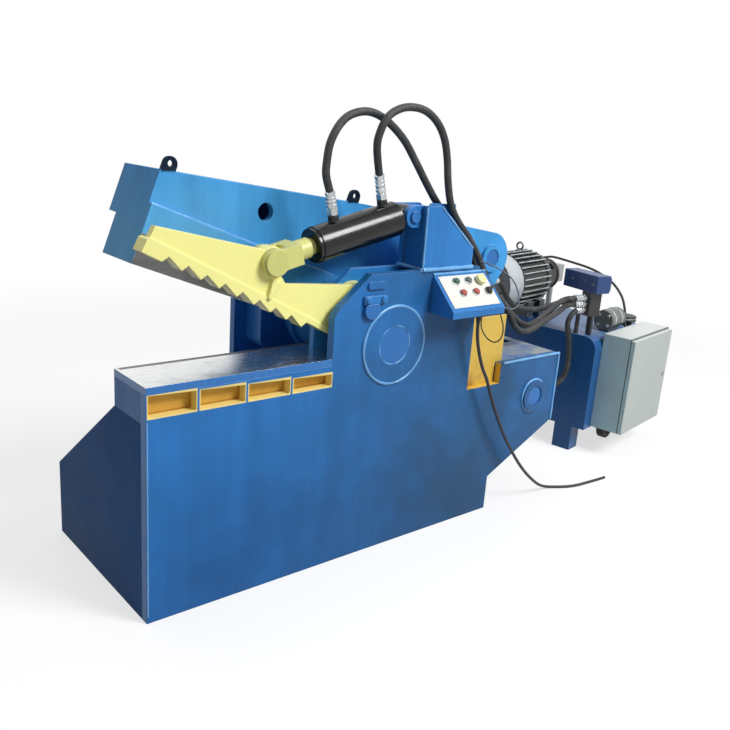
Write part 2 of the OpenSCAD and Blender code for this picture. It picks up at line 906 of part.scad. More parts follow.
module main_cylinder() {
    color(BLACK)
        main_cylinder_frame()
            difference() {
                union() {
                    pin_y([0, 0], 140, -59, 59);
                    translate([0, 0, 62])
                        cylinder(d = main_barrel, h = main_head - 62);
                    translate([0, 0, main_low_port])
                        rotate([-90, 0, 0])
                            cylinder(d = 36, h = main_barrel / 2 + port_rise);
                    translate([0, 0, main_high_port])
                        rotate([0, 90, 0])
                            cylinder(d = 36, h = main_barrel / 2 + port_rise);
                }
                pin_y([0, 0], rear_pin_diameter + 2 * running_fit, -60, 60);
                translate([0, 0, main_floor])
                    cylinder(d = main_bore, h = main_head);
                translate([0, 0, main_low_port])
                    rotate([-90, 0, 0])
                        cylinder(d = 14, h = main_barrel);
                translate([0, 0, main_high_port])
                    rotate([0, 90, 0])
                        cylinder(d = 14, h = main_barrel);
            }
}

module main_gland() {
    color(GREY)
        main_cylinder_frame()
            difference() {
                union() {
                    translate([0, 0, main_head])
                        cylinder(d = main_barrel, h = 20);
                    translate([0, 0, main_head - 20])
                        cylinder(d = main_bore, h = 20);
                }
                translate([0, 0, main_head - 30])
                    cylinder(d = main_rod_diameter + 2 * running_fit, h = 60);
            }
}

module main_rod() {
    color(STEEL)
        main_cylinder_frame()
            difference() {
                union() {
                    translate([0, 0, main_piston])
                        cylinder(d = main_bore - 2 * running_fit, h = piston_height);
                    translate([0, 0, main_piston])
                        cylinder(d = main_rod_diameter, h = main_reach - main_piston - 40);
                    pin_y([0, main_reach], 128, -55, 55);
                }
                pin_y([0, main_reach], tail_pin_diameter + 2 * tail_play, -56, 56);
            }
}

// ---------------------------------------------------------------- clamp

// The arm's outline in its closed position, around its pivot pin
module arm_outline() {
    teeth = [
        for (i = [0 : arm_teeth - 1])
            for (p = [
                [first_tooth + i * tooth_pitch, tooth_tip],
                [first_tooth + i * tooth_pitch + 12, tooth_tip + tooth_depth]
            ]) p
    ];
    polygon(concat(
        [
            [-66, 48], [-305, -46], [-350, -20], [-420, 16], [arm_nose + 8, -65],
            [arm_nose + 6, -98], [arm_nose, -106], [arm_nose, tooth_tip]
        ],
        teeth,
        [[-79, -126], [-10, -60]]
    ));
}

module clamp_arm() {
    hub_side = (cheek_near - near_inner) / 2 - side_fit;
    hub_middle = (cheek_near + near_inner) / 2;
    half = arm_thickness / 2;
    color(YELLOW)
        arm_frame()
            difference() {
                union() {
                    plate_xz(arm_middle - half, arm_middle - half + arm_plate)
                        arm_outline();
                    plate_xz(arm_middle - half, arm_middle + half)
                        translate(fork_closed)
                            circle(44);
                    // the toothed band is thicker than the plate above it
                    plate_xz(arm_middle - half - 4, arm_middle + half + 2)
                        intersection() {
                            arm_outline();
                            polygon([
                                [arm_nose - 20, tooth_tip - 10], [-79, tooth_tip - 10],
                                [-79, tooth_tip + 36], [arm_nose - 20, tooth_tip + 44]
                            ]);
                        }
                    pin_y([0, 0], 150, hub_middle - hub_side, hub_middle + hub_side);
                    // rib below the fork pin
                    plate_xz(arm_middle - half - 12, arm_middle - half)
                        polygon([
                            fork_closed + [18, -50], fork_closed + [50, -44],
                            fork_closed + [40, -104], fork_closed + [30, -104]
                        ]);
                }
                pin_y([0, 0], arm_pin_diameter + 2 * running_fit, near_inner, cheek_near);
                pin_y(
                    fork_closed, fork_pin_diameter + 2 * running_fit,
                    arm_middle - half - 20, arm_middle + half + 20
                );
            }
}

// The pin's outer end has a flat for the keeper plate
module clamp_pin() {
    color(STEEL)
        difference() {
            pin_y(arm_pin_place, arm_pin_diameter, near_face - 14, cheek_far + 6);
            translate([arm_pin_place[0] - 50, near_face - 20, bed_height + 165.9])
                cube([100, 20, 40]);
        }
}

module fork_pin() {
    side = arm_thickness / 2 + side_fit + 20;
    color(YELLOW)
        arm_frame() {
            pin_y(
                fork_closed, fork_pin_diameter,
                arm_middle - side - 1, arm_middle + side + 1
            );
            for (y = [arm_middle - side - 8, arm_middle + side + side_fit])
                pin_y(fork_closed, 78, y, y + 7.5);
        }
}

clamp_tail = 50;
clamp_rear_port = 91;
clamp_front_port = 290;
clamp_head = 372;
clamp_piston = 84;
clamp_piston_height = 40;
fork_length = 140;

module clamp_cylinder() {
    color(BLACK)
        clamp_cylinder_frame()
            difference() {
                union() {
                    pin_y([0, 0], 70, -28, 28);
                    translate([-28, -28, 0])
                        cube([56, 56, clamp_tail + 4]);
                    translate([0, 0, clamp_tail])
                        cylinder(d = clamp_barrel, h = clamp_head - clamp_tail);
                    for (z = [clamp_rear_port, clamp_front_port])
                        translate([0, 0, z])
                            rotate([0, 90, 0])
                                cylinder(d = 34, h = clamp_barrel / 2 + port_rise);
                }
                pin_y([0, 0], lug_pin_diameter + 2 * running_fit, -30, 30);
                translate([0, 0, clamp_tail + 20])
                    cylinder(d = clamp_bore, h = clamp_head);
                for (z = [clamp_rear_port, clamp_front_port])
                    translate([0, 0, z])
                        rotate([0, 90, 0])
                            cylinder(d = 12, h = clamp_barrel);
            }
}

module clamp_gland() {
    color(BLACK)
        clamp_cylinder_frame()
            difference() {
                union() {
                    translate([0, 0, clamp_head])
                        cylinder(d = clamp_barrel - 6, h = 12);
                    translate([0, 0, clamp_head - 25])
                        cylinder(d = clamp_bore, h = 25);
                }
                translate([0, 0, clamp_head - 26])
                    cylinder(d = clamp_rod_diameter + 2 * running_fit, h = 50);
            }
}

// Rod, piston and the fork that grips both sides of the arm
module clamp_rod() {
    gap = arm_thickness / 2 + side_fit;
    color(YELLOW)
        clamp_cylinder_frame()
            difference() {
                union() {
                    translate([0, 0, clamp_piston])
                        cylinder(d = clamp_bore - 2 * running_fit, h = clamp_piston_height);
                    translate([0, 0, clamp_piston])
                        cylinder(d = clamp_rod_diameter, h = clamp_reach - clamp_piston - 80);
                    translate([0, 0, clamp_reach - fork_length])
                        cylinder(d = 64, h = 60);
                    translate([-32, -gap - 20, clamp_reach - 94])
                        cube([64, 2 * gap + 40, 42]);
                    for (y = [-gap - 20, gap]) {
                        pin_y([0, clamp_reach], 84, y, y + 20);
                        translate([-32, y, clamp_reach - 94])
                            cube([64, 20, 94]);
                    }
                }
                pin_y(
                    [0, clamp_reach], fork_pin_diameter + 2 * fork_play,
                    -gap - 21, gap + 21
                );
            }
}

module lug_pin() {
    color(STEEL)
        pin_y(lug_pin_place, lug_pin_diameter, arm_middle - 58, arm_middle + 54);
}

// ---------------------------------------------------------------- controls

module box_outline(inset) {
    polygon([
        [near_face, box_top - 2 * inset],
        [near_face - box_depth + inset, box_top - box_drop - inset / 2],
        [near_face - box_depth + inset, box_top - box_drop - box_lip + inset],
        [near_face, box_top - box_drop - box_lip + inset]
    ]);
}

// Places of the buttons: along the panel and down its slope
GREEN_PLACE = [82, 36];
GREY_PLACE = [142, 36];
MUSHROOM_PLACE = [197, 40];
RED_PLACE = [87, 84];
SECOND_RED_PLACE = [150, 84];
SELECTOR_PLACE = [214, 84];
BUTTON_PLACES = [
    GREEN_PLACE, GREY_PLACE, MUSHROOM_PLACE, RED_PLACE, SECOND_RED_PLACE, SELECTOR_PLACE
];
stem_diameter = 10;
button_lift = 6.5;

module stem_holes() {
    for (place = BUTTON_PLACES)
        panel_frame(place[0], place[1])
            translate([0, 0, -20])
                cylinder(d = stem_diameter + 2 * running_fit, h = 40);
}

module control_box() {
    color(BLUE)
        difference() {
            bar_x(box_start, box_start + box_width)
                box_outline(0);
            bar_x(box_start + box_wall, box_start + box_width - box_wall)
                box_outline(box_wall);
            stem_holes();
        }
}

module control_panel() {
    color(WHITE)
        difference() {
            panel_frame(14, panel_slope - 14)
                cube([box_width - 28, panel_slope - 24, panel_sheet]);
            stem_holes();
        }
}

// A round cap on a stem, standing clear of the panel by its travel
module push_button(place, diameter, height) {
    panel_frame(place[0], place[1]) {
        translate([0, 0, button_lift])
            cylinder(d = diameter, h = height);
        translate([0, 0, -16])
            cylinder(d = stem_diameter, h = 16 + button_lift);
    }
}

module green_button() {
    color([0.10, 0.45, 0.25])
        push_button(GREEN_PLACE, button_diameter, 6);
}

module grey_button() {
    color(GREY)
        push_button(GREY_PLACE, button_diameter, 6);
}

module red_button() {
    color([0.65, 0.12, 0.10])
        push_button(RED_PLACE, button_diameter, 6);
}

module second_red_button() {
    color([0.65, 0.12, 0.10])
        push_button(SECOND_RED_PLACE, button_diameter, 6);
}

module mushroom_button() {
    crown = 60;
    color([0.93, 0.90, 0.60])
        panel_frame(MUSHROOM_PLACE[0], MUSHROOM_PLACE[1]) {
            intersection() {
                translate([0, 0, 8])
                    cylinder(d = mushroom_diameter, h = 14);
                translate([0, 0, 22 - crown])
                    sphere(crown);
            }
            translate([0, 0, 7])
                cylinder(d = 20, h = 4);
            translate([0, 0, -16])
                cylinder(d = stem_diameter, h = 26);
        }
}

module selector_switch() {
    color(BLACK)
        panel_frame(SELECTOR_PLACE[0], SELECTOR_PLACE[1]) {
            translate([0, 0, panel_sheet + 0.3])
                cylinder(d = 27, h = 7);
            rotate([0, 0, 35])
                translate([-15, -6, panel_sheet + 5])
                    cube([30, 12, 13]);
            translate([0, 0, -16])
                cylinder(d = stem_diameter, h = 22);
        }
}

// ---------------------------------------------------------------- oil unit

module tank_outline(inset) {
    width = tank_width - 2 * inset;
    height = tank_top - tank_bottom - 2 * inset;
    radius = tank_radius - inset;
    translate([inset, tank_bottom + inset]) {
        square([width, height - radius]);
        translate([radius, 0])
            square([width - 2 * radius, height]);
        for (y = [radius, width - radius])
            translate([y, height - radius])
                circle(radius);
    }
}

// Tank with its legs, axle brackets and the two rails under the motor
module oil_tank() {
    wall = 5;
    color(BLUE)
        unit_frame()
            difference() {
                union() {
                    bar_x(0, tank_length)
                        tank_outline(0);
                    for (y = [60, tank_width - 150])
                        translate([0, y, 0])
                            cube([80, 90, tank_bottom]);
                    for (y = [56, tank_width - 68])
                        translate([295, y, wheel_radius - 16])
                            cube([40, 12, tank_bottom - wheel_radius + 16]);
                    for (x = FOOT_PLACES)
                        translate([x, shaft_y - 135, tank_top])
                            cube([50, 270, rail_height]);
                }
                bar_x(wall, tank_length - wall)
                    tank_outline(wall);
                for (y = [66, tank_width - 144])
                    translate([6, y, -1])
                        cube([80, 78, tank_bottom + 0.5]);
                translate([315, 0, wheel_radius])
                    rotate([-90, 0, 0])
                        cylinder(d = 25 + 2 * running_fit, h = tank_width);
                translate([430, 60, tank_top - 20])
                    cylinder(d = 40, h = 40);
            }
}

module unit_wheels() {
    color(BLACK)
        unit_frame()
            translate([315, 0, wheel_radius])
                rotate([-90, 0, 0]) {
                    translate([0, 0, 8])
                        cylinder(d = 25, h = tank_width - 16);
                    for (y = [10, tank_width - 50])
                        translate([0, 0, y])
                            cylinder(r = wheel_radius, h = 40);
                }
}

module cabinet_body() {
    body = cabinet_depth - door_depth - 0.3;
    color(WHITE)
        unit_frame()
            translate([cabinet_start, -body, cabinet_bottom])
                difference() {
                    cube([cabinet_width, body, cabinet_height]);
                    translate([sheet, 14, sheet])
                        cube([cabinet_width - 2 * sheet, body - 14 - sheet, cabinet_height - 2 * sheet]);
                    translate([16, -1, 16])
                        cube([cabinet_width - 32, 20, cabinet_height - 32]);
                    translate([330 - cabinet_start, body - 10, tank_top - 6 - cabinet_bottom])
                        rotate([-90, 0, 0])
                            cylinder(d = 20, h = 20);
                }
}

module cabinet_door() {
    color(WHITE)
        unit_frame()
            translate([cabinet_start, -cabinet_depth, cabinet_bottom])
                difference() {
                    cube([cabinet_width, door_depth, cabinet_height - 8]);
                    translate([sheet, sheet, sheet])
                        cube([cabinet_width - 2 * sheet, door_depth, cabinet_height - 8 - 2 * sheet]);
                    translate([cabinet_width - 26, -1, cabinet_height / 2])
                        rotate([-90, 0, 0])
                            cylinder(d = 18 + 2 * running_fit, h = 10);
                }
}

module door_lock() {
    color(GREY)
        unit_frame()
            translate([
                cabinet_start + cabinet_width - 26, -cabinet_depth, cabinet_bottom + cabinet_height / 2
            ])
                rotate([-90, 0, 0]) {
                    translate([0, 0, -3])
                        difference() {
                            cylinder(d = 24, h = 3);
                            translate([-7, -1.5, -1])
                                cube([14, 3, 3]);
                        }
                    cylinder(d = 18, h = 12);
                    cylinder(d = 10, h = 36);
                    translate([-7, -6, 34])
                        cube([14, 30, 4]);
                }
}

module motor_frame() {
    core = motor_diameter - 44;
    color(GREY)
        motor_frame_place()
            difference() {
                union() {
                    translate([0, 0, frame_start + 15])
                        cylinder(d = core, h = frame_end - frame_start - 50);
                    // no fins over the feet and behind the terminal box
                    for (i = [0 : motor_fins - 1])
                        if (cos((i + 0.5) * 360 / motor_fins) < 0.8
                            && sin((i + 0.5) * 360 / motor_fins) < 0.85)
                            rotate([0, 0, (i + 0.5) * 360 / motor_fins])
                                translate([core / 2 - 3, -2.5, frame_start + 18])
                                    cube([25, 5, frame_end - frame_start - 56]);
                    for (z = FOOT_PLACES)
                        translate([core / 2 - 30, -125, z])
                            cube([shaft_z - tank_top - rail_height - core / 2 + 30, 250, 50]);
                    translate([-50, core / 2 - 25, 78])
                        cube([80, 33, 94]);
                }
                translate([0, 0, frame_start])
                    cylinder(d = 170, h = frame_end - frame_start);
            }
}

module motor_end_shields() {
    color(GREY)
        motor_frame_place()
            for (z = [frame_start, frame_end - 35])
                translate([0, 0, z])
                    difference() {
                        cylinder(d = motor_diameter - 34, h = z == frame_start ? 15 : 35);
                        translate([0, 0, -1])
                            cylinder(d = 38 + 2 * running_fit, h = 60);
                    }
}

module fan_cowl() {
    outer = motor_diameter - 8;
    color(GREY)
        motor_frame_place()
            difference() {
                translate([0, 0, cowl_start])
                    cylinder(d = outer, h = frame_start - cowl_start + 12);
                translate([0, 0, cowl_start + 2])
                    cylinder(d = outer - 4, h = frame_start - cowl_start - 2);
                translate([0, 0, frame_start - 1])
                    cylinder(d = motor_diameter - 34, h = 20);
                for (ring = [[40, 8], [66, 14], [92, 20]])
                    for (i = [0 : ring[1] - 1])
                        rotate([0, 0, i * 360 / ring[1]])
                            translate([ring[0], 0, cowl_start - 1])
                                cylinder(d = 13, h = 5);
            }
}

module motor_rotor() {
    color(STEEL)
        motor_frame_place()
            difference() {
                union() {
                    translate([0, 0, cowl_start + 20])
                        cylinder(d = 38, h = pump_start - cowl_start - 40);
                    translate([0, 0, frame_start + 55])
                        cylinder(d = 168, h = frame_end - frame_start - 130);
                    // coupling sleeve that takes the end of the pump's shaft
                    translate([0, 0, pump_start - 80])
                        cylinder(d = 72, h = 64);
                }
                translate([0, 0, pump_start - 30])
                    cylinder(d = 22 + 2 * running_fit, h = 40);
            }
}

module motor_fan() {
    start = cowl_start + 45;
    color(BLACK)
        motor_frame_place()
            difference() {
                union() {
                    translate([0, 0, start])
                        cylinder(d = 66, h = 50);
                    translate([0, 0, start + 46])
                        cylinder(d = motor_diameter - 80, h = 4);
                    for (i = [0 : 6])
                        rotate([0, 0, i * 360 / 7])
                            translate([28, -2, start + 4])
                                cube([motor_diameter / 2 - 70, 4, 44]);
                }
                translate([0, 0, start - 1])
                    cylinder(d = 38, h = 60);
            }
}

module terminal_box() {
    color(BLACK)
        unit_frame() {
            translate([75, shaft_y + motor_diameter / 2 - 14, shaft_z - 46])
                cube([100, 76, 92]);
            translate([175, 670, tank_top + 199])
                rotate([0, 90, 0])
                    cylinder(d = 26, h = 14);
        }
}

module bell_housing() {
    length = pump_start - frame_end;
    color(BLACK)
        motor_frame_place()
            translate([0, 0, frame_end])
                difference() {
                    union() {
                        cylinder(d = 230, h = 16);
                        cylinder(d = 150, h = length);
                        translate([0, 0, length - 14])
                            cylinder(d = 160, h = 14);
                    }
                    translate([0, 0, -1])
                        cylinder(d = 126, h = length - 13);
                    cylinder(d = 40, h = length + 1);
                    // windows around the coupling
                    for (i = [0 : 3])
                        rotate([0, 0, i * 90 + 45])
                            translate([0, -20, 34])
                                cube([100, 40, length - 70]);
                }
}

// Pump with its shaft end and the suction pipe down to the tank
module pump() {
    color(GREY)
        unit_frame() {
            translate([pump_start, shaft_y, shaft_z])
                rotate([0, 90, 0]) {
                    cylinder(d = 104, h = 14);
                    translate([-44, -38, 14])
                        cube([88, 76, 108]);
                    translate([0, 0, -24])
                        cylinder(d = 22, h = 24);
                }
            translate([pump_start + 34, shaft_y - 18, tank_top]) {
                cylinder(d = 30, h = shaft_z - tank_top - 42);
                cylinder(d = 62, h = 10);
            }
        }
}

module manifold() {
    color(BLACK)
        unit_frame() {
            valve_frame()
                translate([0, manifold_start, valve_bottom - manifold_size[2]])
                    cube(manifold_size);
            for (pipe = [[14, 116, 20, 112], [38, 60, 18, 100], [66, 84, 18, 100]])
                translate([pipe[0], pipe[1], tank_top])
                    cylinder(d = pipe[2], h = pipe[3]);
        }
}

// Stacked valves on the manifold, with the joints between them and screw recesses
module valve_block() {
    size = [79, 217, 80];
    color([0.10, 0.22, 0.55])
        unit_frame()
            valve_frame()
                translate([0, 0, valve_bottom])
                    difference() {
                        union() {
                            cube(size);
                            translate([size[0], 8, 6])
                                cube([14, 56, 62]);
                        }
                        for (y = [52, 106])
                            translate([-1, y, -1]) {
                                cube([4, 2, size[2] + 2]);
                                translate([0, 0, size[2] - 2])
                                    cube([size[0] + 2, 2, 4]);
                            }
                        for (p = [[26, 42], [80, 50], [160, 44]])
                            translate([-1, p[0], p[1]])
                                rotate([0, 90, 0])
                                    cylinder(d = 14, h = 9);
                    }
}

module return_filter() {
    color(GREY)
        unit_frame() {
            translate([171, 60, tank_top + 52])
                rotate([0, 90, 0])
                    cylinder(d = 96, h = 145);
            translate([190, 35, tank_top])
                cube([100, 50, 20]);
        }
}

// ---------------------------------------------------------------- doors, hoses and cables

module clamp_hose_front() {
    points = concat(
        [for (out = [port_gap, 22, 44]) clamp_port(clamp_front_port, out)],
        [for (p = FRONT_HOSE) on_machine(p)],
        [for (out = [80, 40, port_gap]) manifold_port(out, 174)]
    );
    color(BLACK)
        cord(smooth(points, 2), hose_diameter, 8, [0, 1, 0]);
}

module clamp_hose_rear() {
    points = concat(
        [for (out = [port_gap, 22, 44]) clamp_port(clamp_rear_port, out)],
        [for (p = REAR_HOSE) on_machine(p)],
        [for (out = [80, 40, port_gap]) manifold_port(out, 146)]
    );
    color(BLACK)
        cord(smooth(points, 2), hose_diameter, 8, [0, 1, 0]);
}

module main_hose_top() {
    out = main_barrel / 2 + port_rise;
    points = concat(
        [
            main_port_place(main_high_port, out + port_gap),
            main_port_place(main_high_port, out + 22),
            main_port_place(main_high_port, out + 45)
        ],
        [for (p = TOP_HOSE) on_machine(p)],
        [for (p = [[-30, 198], [20, 193], [51, 172]]) on_oil_unit([p[0], p[1], 134])],
        [for (out = [40, 20, port_gap]) on_valves([33, manifold_start + manifold_size[1] + out, 134])]
    );
    color(BLACK)
        cord(smooth(points, 2), hose_diameter, 8, [0, 0, 1]);
}

module main_hose_bottom() {
    out = main_barrel / 2 + port_rise;
    start = main_port_place(main_low_port, 0);
    points = concat(
        [start + [0, out + port_gap, 0], start + [0, out + 16, 0]],
        [for (p = BOTTOM_HOSE) on_machine(p)],
        [for (out = [20, port_gap]) manifold_port(out, 118)]
    );
    color(BLACK)
        cord(smooth(points, 2), hose_diameter, 8, [1, 0.3, 1]);
}

module control_cable() {
    radius = cable_diameter / 2;
    box_bottom = box_top - box_drop - box_lip;
    points = [
        for (p = CABLE)
            [p[0], near_face - p[1], radius + 0.3 + p[2] * (box_bottom - radius - 0.3)]
    ];
    color(BLACK)
        cord(smooth(points, 2), cable_diameter, 8, [0.3, 1, 0.2]);
}

module motor_cable() {
    color(BLACK)
        cord(smooth([for (p = MOTOR_CABLE) on_oil_unit(p)], 2), cable_diameter, 8, [1, 0, 0.1]);
}

bed_frame();
near_side_plate();
far_side_plate();
rear_box();
anvil_beam();
bed_top();
lower_blade();
lower_blade_bolts();
inner_cheek();
recess_liner();
tower();
keeper_plate();
pivot_shaft();
bearing_block();
rear_pin();
upper_jaw();
upper_blade();
upper_blade_bolts();
jaw_bush();
tail_pin();
main_cylinder();
main_gland();
main_rod();
clamp_arm();
clamp_pin();
fork_pin();
clamp_cylinder();
clamp_gland();
clamp_rod();
lug_pin();
control_box();
control_panel();
green_button();
grey_button();
mushroom_button();
red_button();
second_red_button();
selector_switch();
oil_tank();
unit_wheels();
cabinet_body();
cabinet_door();
door_lock();
motor_frame();
motor_end_shields();
fan_cowl();
motor_rotor();
motor_fan();
terminal_box();
bell_housing();
pump();
valve_block();
manifold();
return_filter();
clamp_hose_front();
clamp_hose_rear();
main_hose_top();
main_hose_bottom();
control_cable();
motor_cable();
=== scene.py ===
import math
import random

import bmesh
import bpy
from mathutils import Matrix, Vector


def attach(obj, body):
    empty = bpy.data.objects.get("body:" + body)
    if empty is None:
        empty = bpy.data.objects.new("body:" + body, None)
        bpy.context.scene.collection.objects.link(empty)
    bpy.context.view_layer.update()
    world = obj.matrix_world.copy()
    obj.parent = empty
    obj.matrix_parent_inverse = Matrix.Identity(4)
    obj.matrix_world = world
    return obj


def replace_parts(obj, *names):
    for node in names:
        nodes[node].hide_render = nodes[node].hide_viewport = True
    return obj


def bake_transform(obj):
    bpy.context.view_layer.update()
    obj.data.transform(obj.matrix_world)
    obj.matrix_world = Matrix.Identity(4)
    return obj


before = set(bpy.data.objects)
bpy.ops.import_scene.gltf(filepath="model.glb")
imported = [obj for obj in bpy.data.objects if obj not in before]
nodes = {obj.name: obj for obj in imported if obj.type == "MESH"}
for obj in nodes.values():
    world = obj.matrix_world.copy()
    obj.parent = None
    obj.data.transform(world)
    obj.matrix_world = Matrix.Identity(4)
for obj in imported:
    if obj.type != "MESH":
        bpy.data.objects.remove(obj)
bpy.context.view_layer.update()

here = bpy.context.scene

# ------------------------------------------------------------------ camera and room
# The camera looks down on the nose from the operator's side, a little rolled.
# A pale floor and a white surround; one wide lamp stands behind the operator's right shoulder.


def move(x, y, z):
    return Matrix.Translation((x, y, z))


def shown(name, content):
    """Puts a new object in the scene."""
    made = bpy.data.objects.new(name, content)
    here.collection.objects.link(made)
    return made


pitch, roll = math.radians(16.31), math.radians(4.14)
HEADING = 0.652, 0.758
STAND = -1.788, -2.274, 1.432
ahead = Vector((HEADING[0] * math.cos(pitch), HEADING[1] * math.cos(pitch), -math.sin(pitch)))
level = Vector((HEADING[1], -HEADING[0], 0))
upright = level.cross(ahead)
right = math.cos(roll) * level + math.sin(roll) * upright
up = -math.sin(roll) * level + math.cos(roll) * upright
camera = shown("camera", bpy.data.cameras.new("camera"))
camera.data.sensor_width = 36
camera.data.lens = 40.54
camera.matrix_world = move(*STAND) @ Matrix((right, up, -ahead)).transposed().to_4x4()
here.camera = camera
here.view_settings.view_transform = "Standard"


def add(tree, kind, sockets=None, **settings):
    """A node, with its settings made and its sockets set or linked. A bare kind is a shader node."""
    made = tree.nodes.new(kind if "Node" in kind else "ShaderNode" + kind)
    for key, value in settings.items():
        setattr(made, key, value)
    for key, value in (sockets or {}).items():
        if isinstance(value, bpy.types.NodeSocket):
            tree.links.new(value, made.inputs[key])
        else:
            made.inputs[key].default_value = value
    return made


def maths(tree, operation, *values):
    return add(tree, "Math", dict(enumerate(values)), operation=operation).outputs[0]


def times(tree, a, b):
    return maths(tree, "MULTIPLY", a, b)


def ramp(tree, value, start, full, low=0.0, high=1.0):
    """Takes a value from start..full to low..high, and holds it there past both ends."""
    return add(tree, "MapRange", {"Value": value, "From Min": start, "From Max": full,
                                  "To Min": low, "To Max": high}).outputs[0]


def own_place(tree):
    return add(tree, "TexCoord").outputs["Object"]


def seen_rays(tree):
    """1 for the rays that show a surface as itself: from the camera, in gloss and through glass."""
    path = add(tree, "LightPath").outputs
    either = maths(tree, "MAXIMUM", path["Is Camera Ray"], path["Is Glossy Ray"])
    return maths(tree, "MAXIMUM", either, path["Is Transmission Ray"])


AMBIENT = 0.27           # how much of the surround's white light falls on the machine
world = bpy.data.worlds.new("white_room")
here.world = world
world.use_nodes = True
sky = world.node_tree
glow = sky.nodes["Background"]
glow.inputs["Color"].default_value = (1, 1, 1, 1)
sky.links.new(ramp(sky, seen_rays(sky), 0.0, 1.0, AMBIENT), glow.inputs["Strength"])

# The floor catches the machine's shadow near it and fades into the white surround further out.
floor_paint = bpy.data.materials.new("pale_floor")
floor_paint.use_nodes = True
boards = floor_paint.node_tree
boards.nodes.clear()
seen = seen_rays(boards)
matt = add(boards, "BsdfDiffuse", {"Color": (0.36, 0.36, 0.36, 1)}).outputs[0]
lifted = add(boards, "Emission", {"Color": (1, 1, 1, 1), "Strength": times(boards, seen, 0.66)}).outputs[0]
near_floor = add(boards, "AddShader", {0: matt, 1: lifted}).outputs[0]
white = add(boards, "Emission", {"Color": (1, 1, 1, 1), "Strength": 1.0}).outputs[0]
from_machine = add(boards, "VectorMath", {0: own_place(boards), 1: (0.4, 0, 0)}, operation="DISTANCE")
far_share = times(boards, ramp(boards, from_machine.outputs["Value"], 2.6, 4.6), seen)
both = add(boards, "MixShader", {0: far_share, 1: near_floor, 2: white}).outputs[0]
boards.links.new(both, add(boards, "OutputMaterial").inputs[0])
ground = bpy.data.meshes.new("floor")
ground.from_pydata([(-30, -30, 0), (30, -30, 0), (30, 30, 0), (-30, 30, 0)], [], [(0, 1, 2, 3)])
ground.materials.append(floor_paint)
shown("floor", ground)

for name, stand, size, power in (("main_lamp", (2.2, -4.6, 5.2), 2.8, 430),
                                 ("top_lamp", (-0.6, 1.8, 6.0), 4.0, 90)):
    light = bpy.data.lights.new(name, "AREA")
    light.shape, light.size, light.energy = "DISK", size, power
    aim = Vector((0.3, 0, 0.5)) - Vector(stand)
    shown(name, light).matrix_world = move(*stand) @ aim.to_track_quat("-Z", "Y").to_matrix().to_4x4()

# ------------------------------------------------------------------ hoses and cables
# Black rubber hoses on the routes that the machine was plumbed to, and sheathed cables.
# Each hose is pushed into crimped, plated end fittings that screw into the ports.
NEAR = -0.335            # the operator's face of the machine
BED = 0.720              # the bed's top
CLAMP_PLANE = -0.260     # the clamp arm's middle plane; the jaw's is at 0
PIVOT = 0.737            # height of the jaw's shaft, above the frame's origin
JAW_OPEN = 20.4          # degrees that the jaw stands open at rest
ARM_OPEN = 25.9          # degrees from the clamp arm's level position to its rest
TANK_TOP = 0.566
SHAFT_IN, MOTOR = 0.500, 0.751      # the motor's shaft: in from the unit's front, and up


def turn(degrees, axis):
    return Matrix.Rotation(math.radians(degrees), 4, axis)


UNIT = move(1.391, -0.186, 0) @ turn(9.5, "Z")      # the oil unit stands a little askew
along_unit = (UNIT.to_3x3() @ Vector((1, 0, 0))).normalized()
across_unit = (UNIT.to_3x3() @ Vector((0, 1, 0))).normalized()
VALVES = UNIT @ move(-0.011, 0.032, 0) @ turn(-20, "Z")
HOSE, CABLE = 0.025, 0.012
PORT_GAP = 0.0005


def turned(x, z, degrees):
    """A point of the XZ plane, turned about the origin so that the nose side rises."""
    a = math.radians(degrees)
    return x * math.cos(a) + z * math.sin(a), z * math.cos(a) - x * math.sin(a)


REAR_PIN, LUG_PIN, ARM_PIN = (0.775, 0.438), (0.070, 1.154), (-0.114, 0.867)     # along, and up
tail = turned(0.560, 0.445, JAW_OPEN)
main_lean = math.atan2(tail[0] - REAR_PIN[0], tail[1] + PIVOT - REAR_PIN[1])
fork = turned(-0.378, -0.004, ARM_OPEN)
clamp_lean = math.atan2(fork[0] + ARM_PIN[0] - LUG_PIN[0], fork[1] + ARM_PIN[1] - LUG_PIN[1])
PORT_RISE = 0.015
clamp_out, main_out = 0.057 + PORT_RISE, 0.084 + PORT_RISE      # a port's mouth, from the middle line


def clamp_port(along, out):
    """A point in front of a port of the clamp cylinder, from its pin and its middle line."""
    return Vector((LUG_PIN[0] + along * math.sin(clamp_lean) + out * math.cos(clamp_lean), CLAMP_PLANE,
                   LUG_PIN[1] + along * math.cos(clamp_lean) - out * math.sin(clamp_lean)))


def main_port(along, out):
    return Vector((REAR_PIN[0] + along * math.sin(main_lean) + out * math.cos(main_lean), 0.0,
                   REAR_PIN[1] + along * math.cos(main_lean) - out * math.sin(main_lean)))


# Places in millimetres: on the machine from its near face and bed, on the unit from its tank's top.
def on_machine(x, inwards, above_bed):
    return Vector((x / 1000, NEAR + inwards / 1000, BED + above_bed / 1000))


def on_unit(x, y, above_tank, unit=UNIT):
    return unit @ Vector((x / 1000, y / 1000, TANK_TOP + above_tank / 1000))


def manifold_port(out, height):
    return on_unit(-out, 57.5, height, VALVES)


def smooth(points, steps):
    """A smooth curve through the points, with that many steps between two of them."""
    made = []
    for i in range(len(points) - 1):
        a, b = points[max(i - 1, 0)], points[i]
        c, d = points[i + 1], points[min(i + 2, len(points) - 1)]
        for s in range(steps):
            t = s / steps
            made.append(0.5 * (2 * b + (c - a) * t + (2 * a - 5 * b + 4 * c - d) * t * t
                               + (3 * b - a - 3 * c + d) * t ** 3))
    return made + [points[-1].copy()]


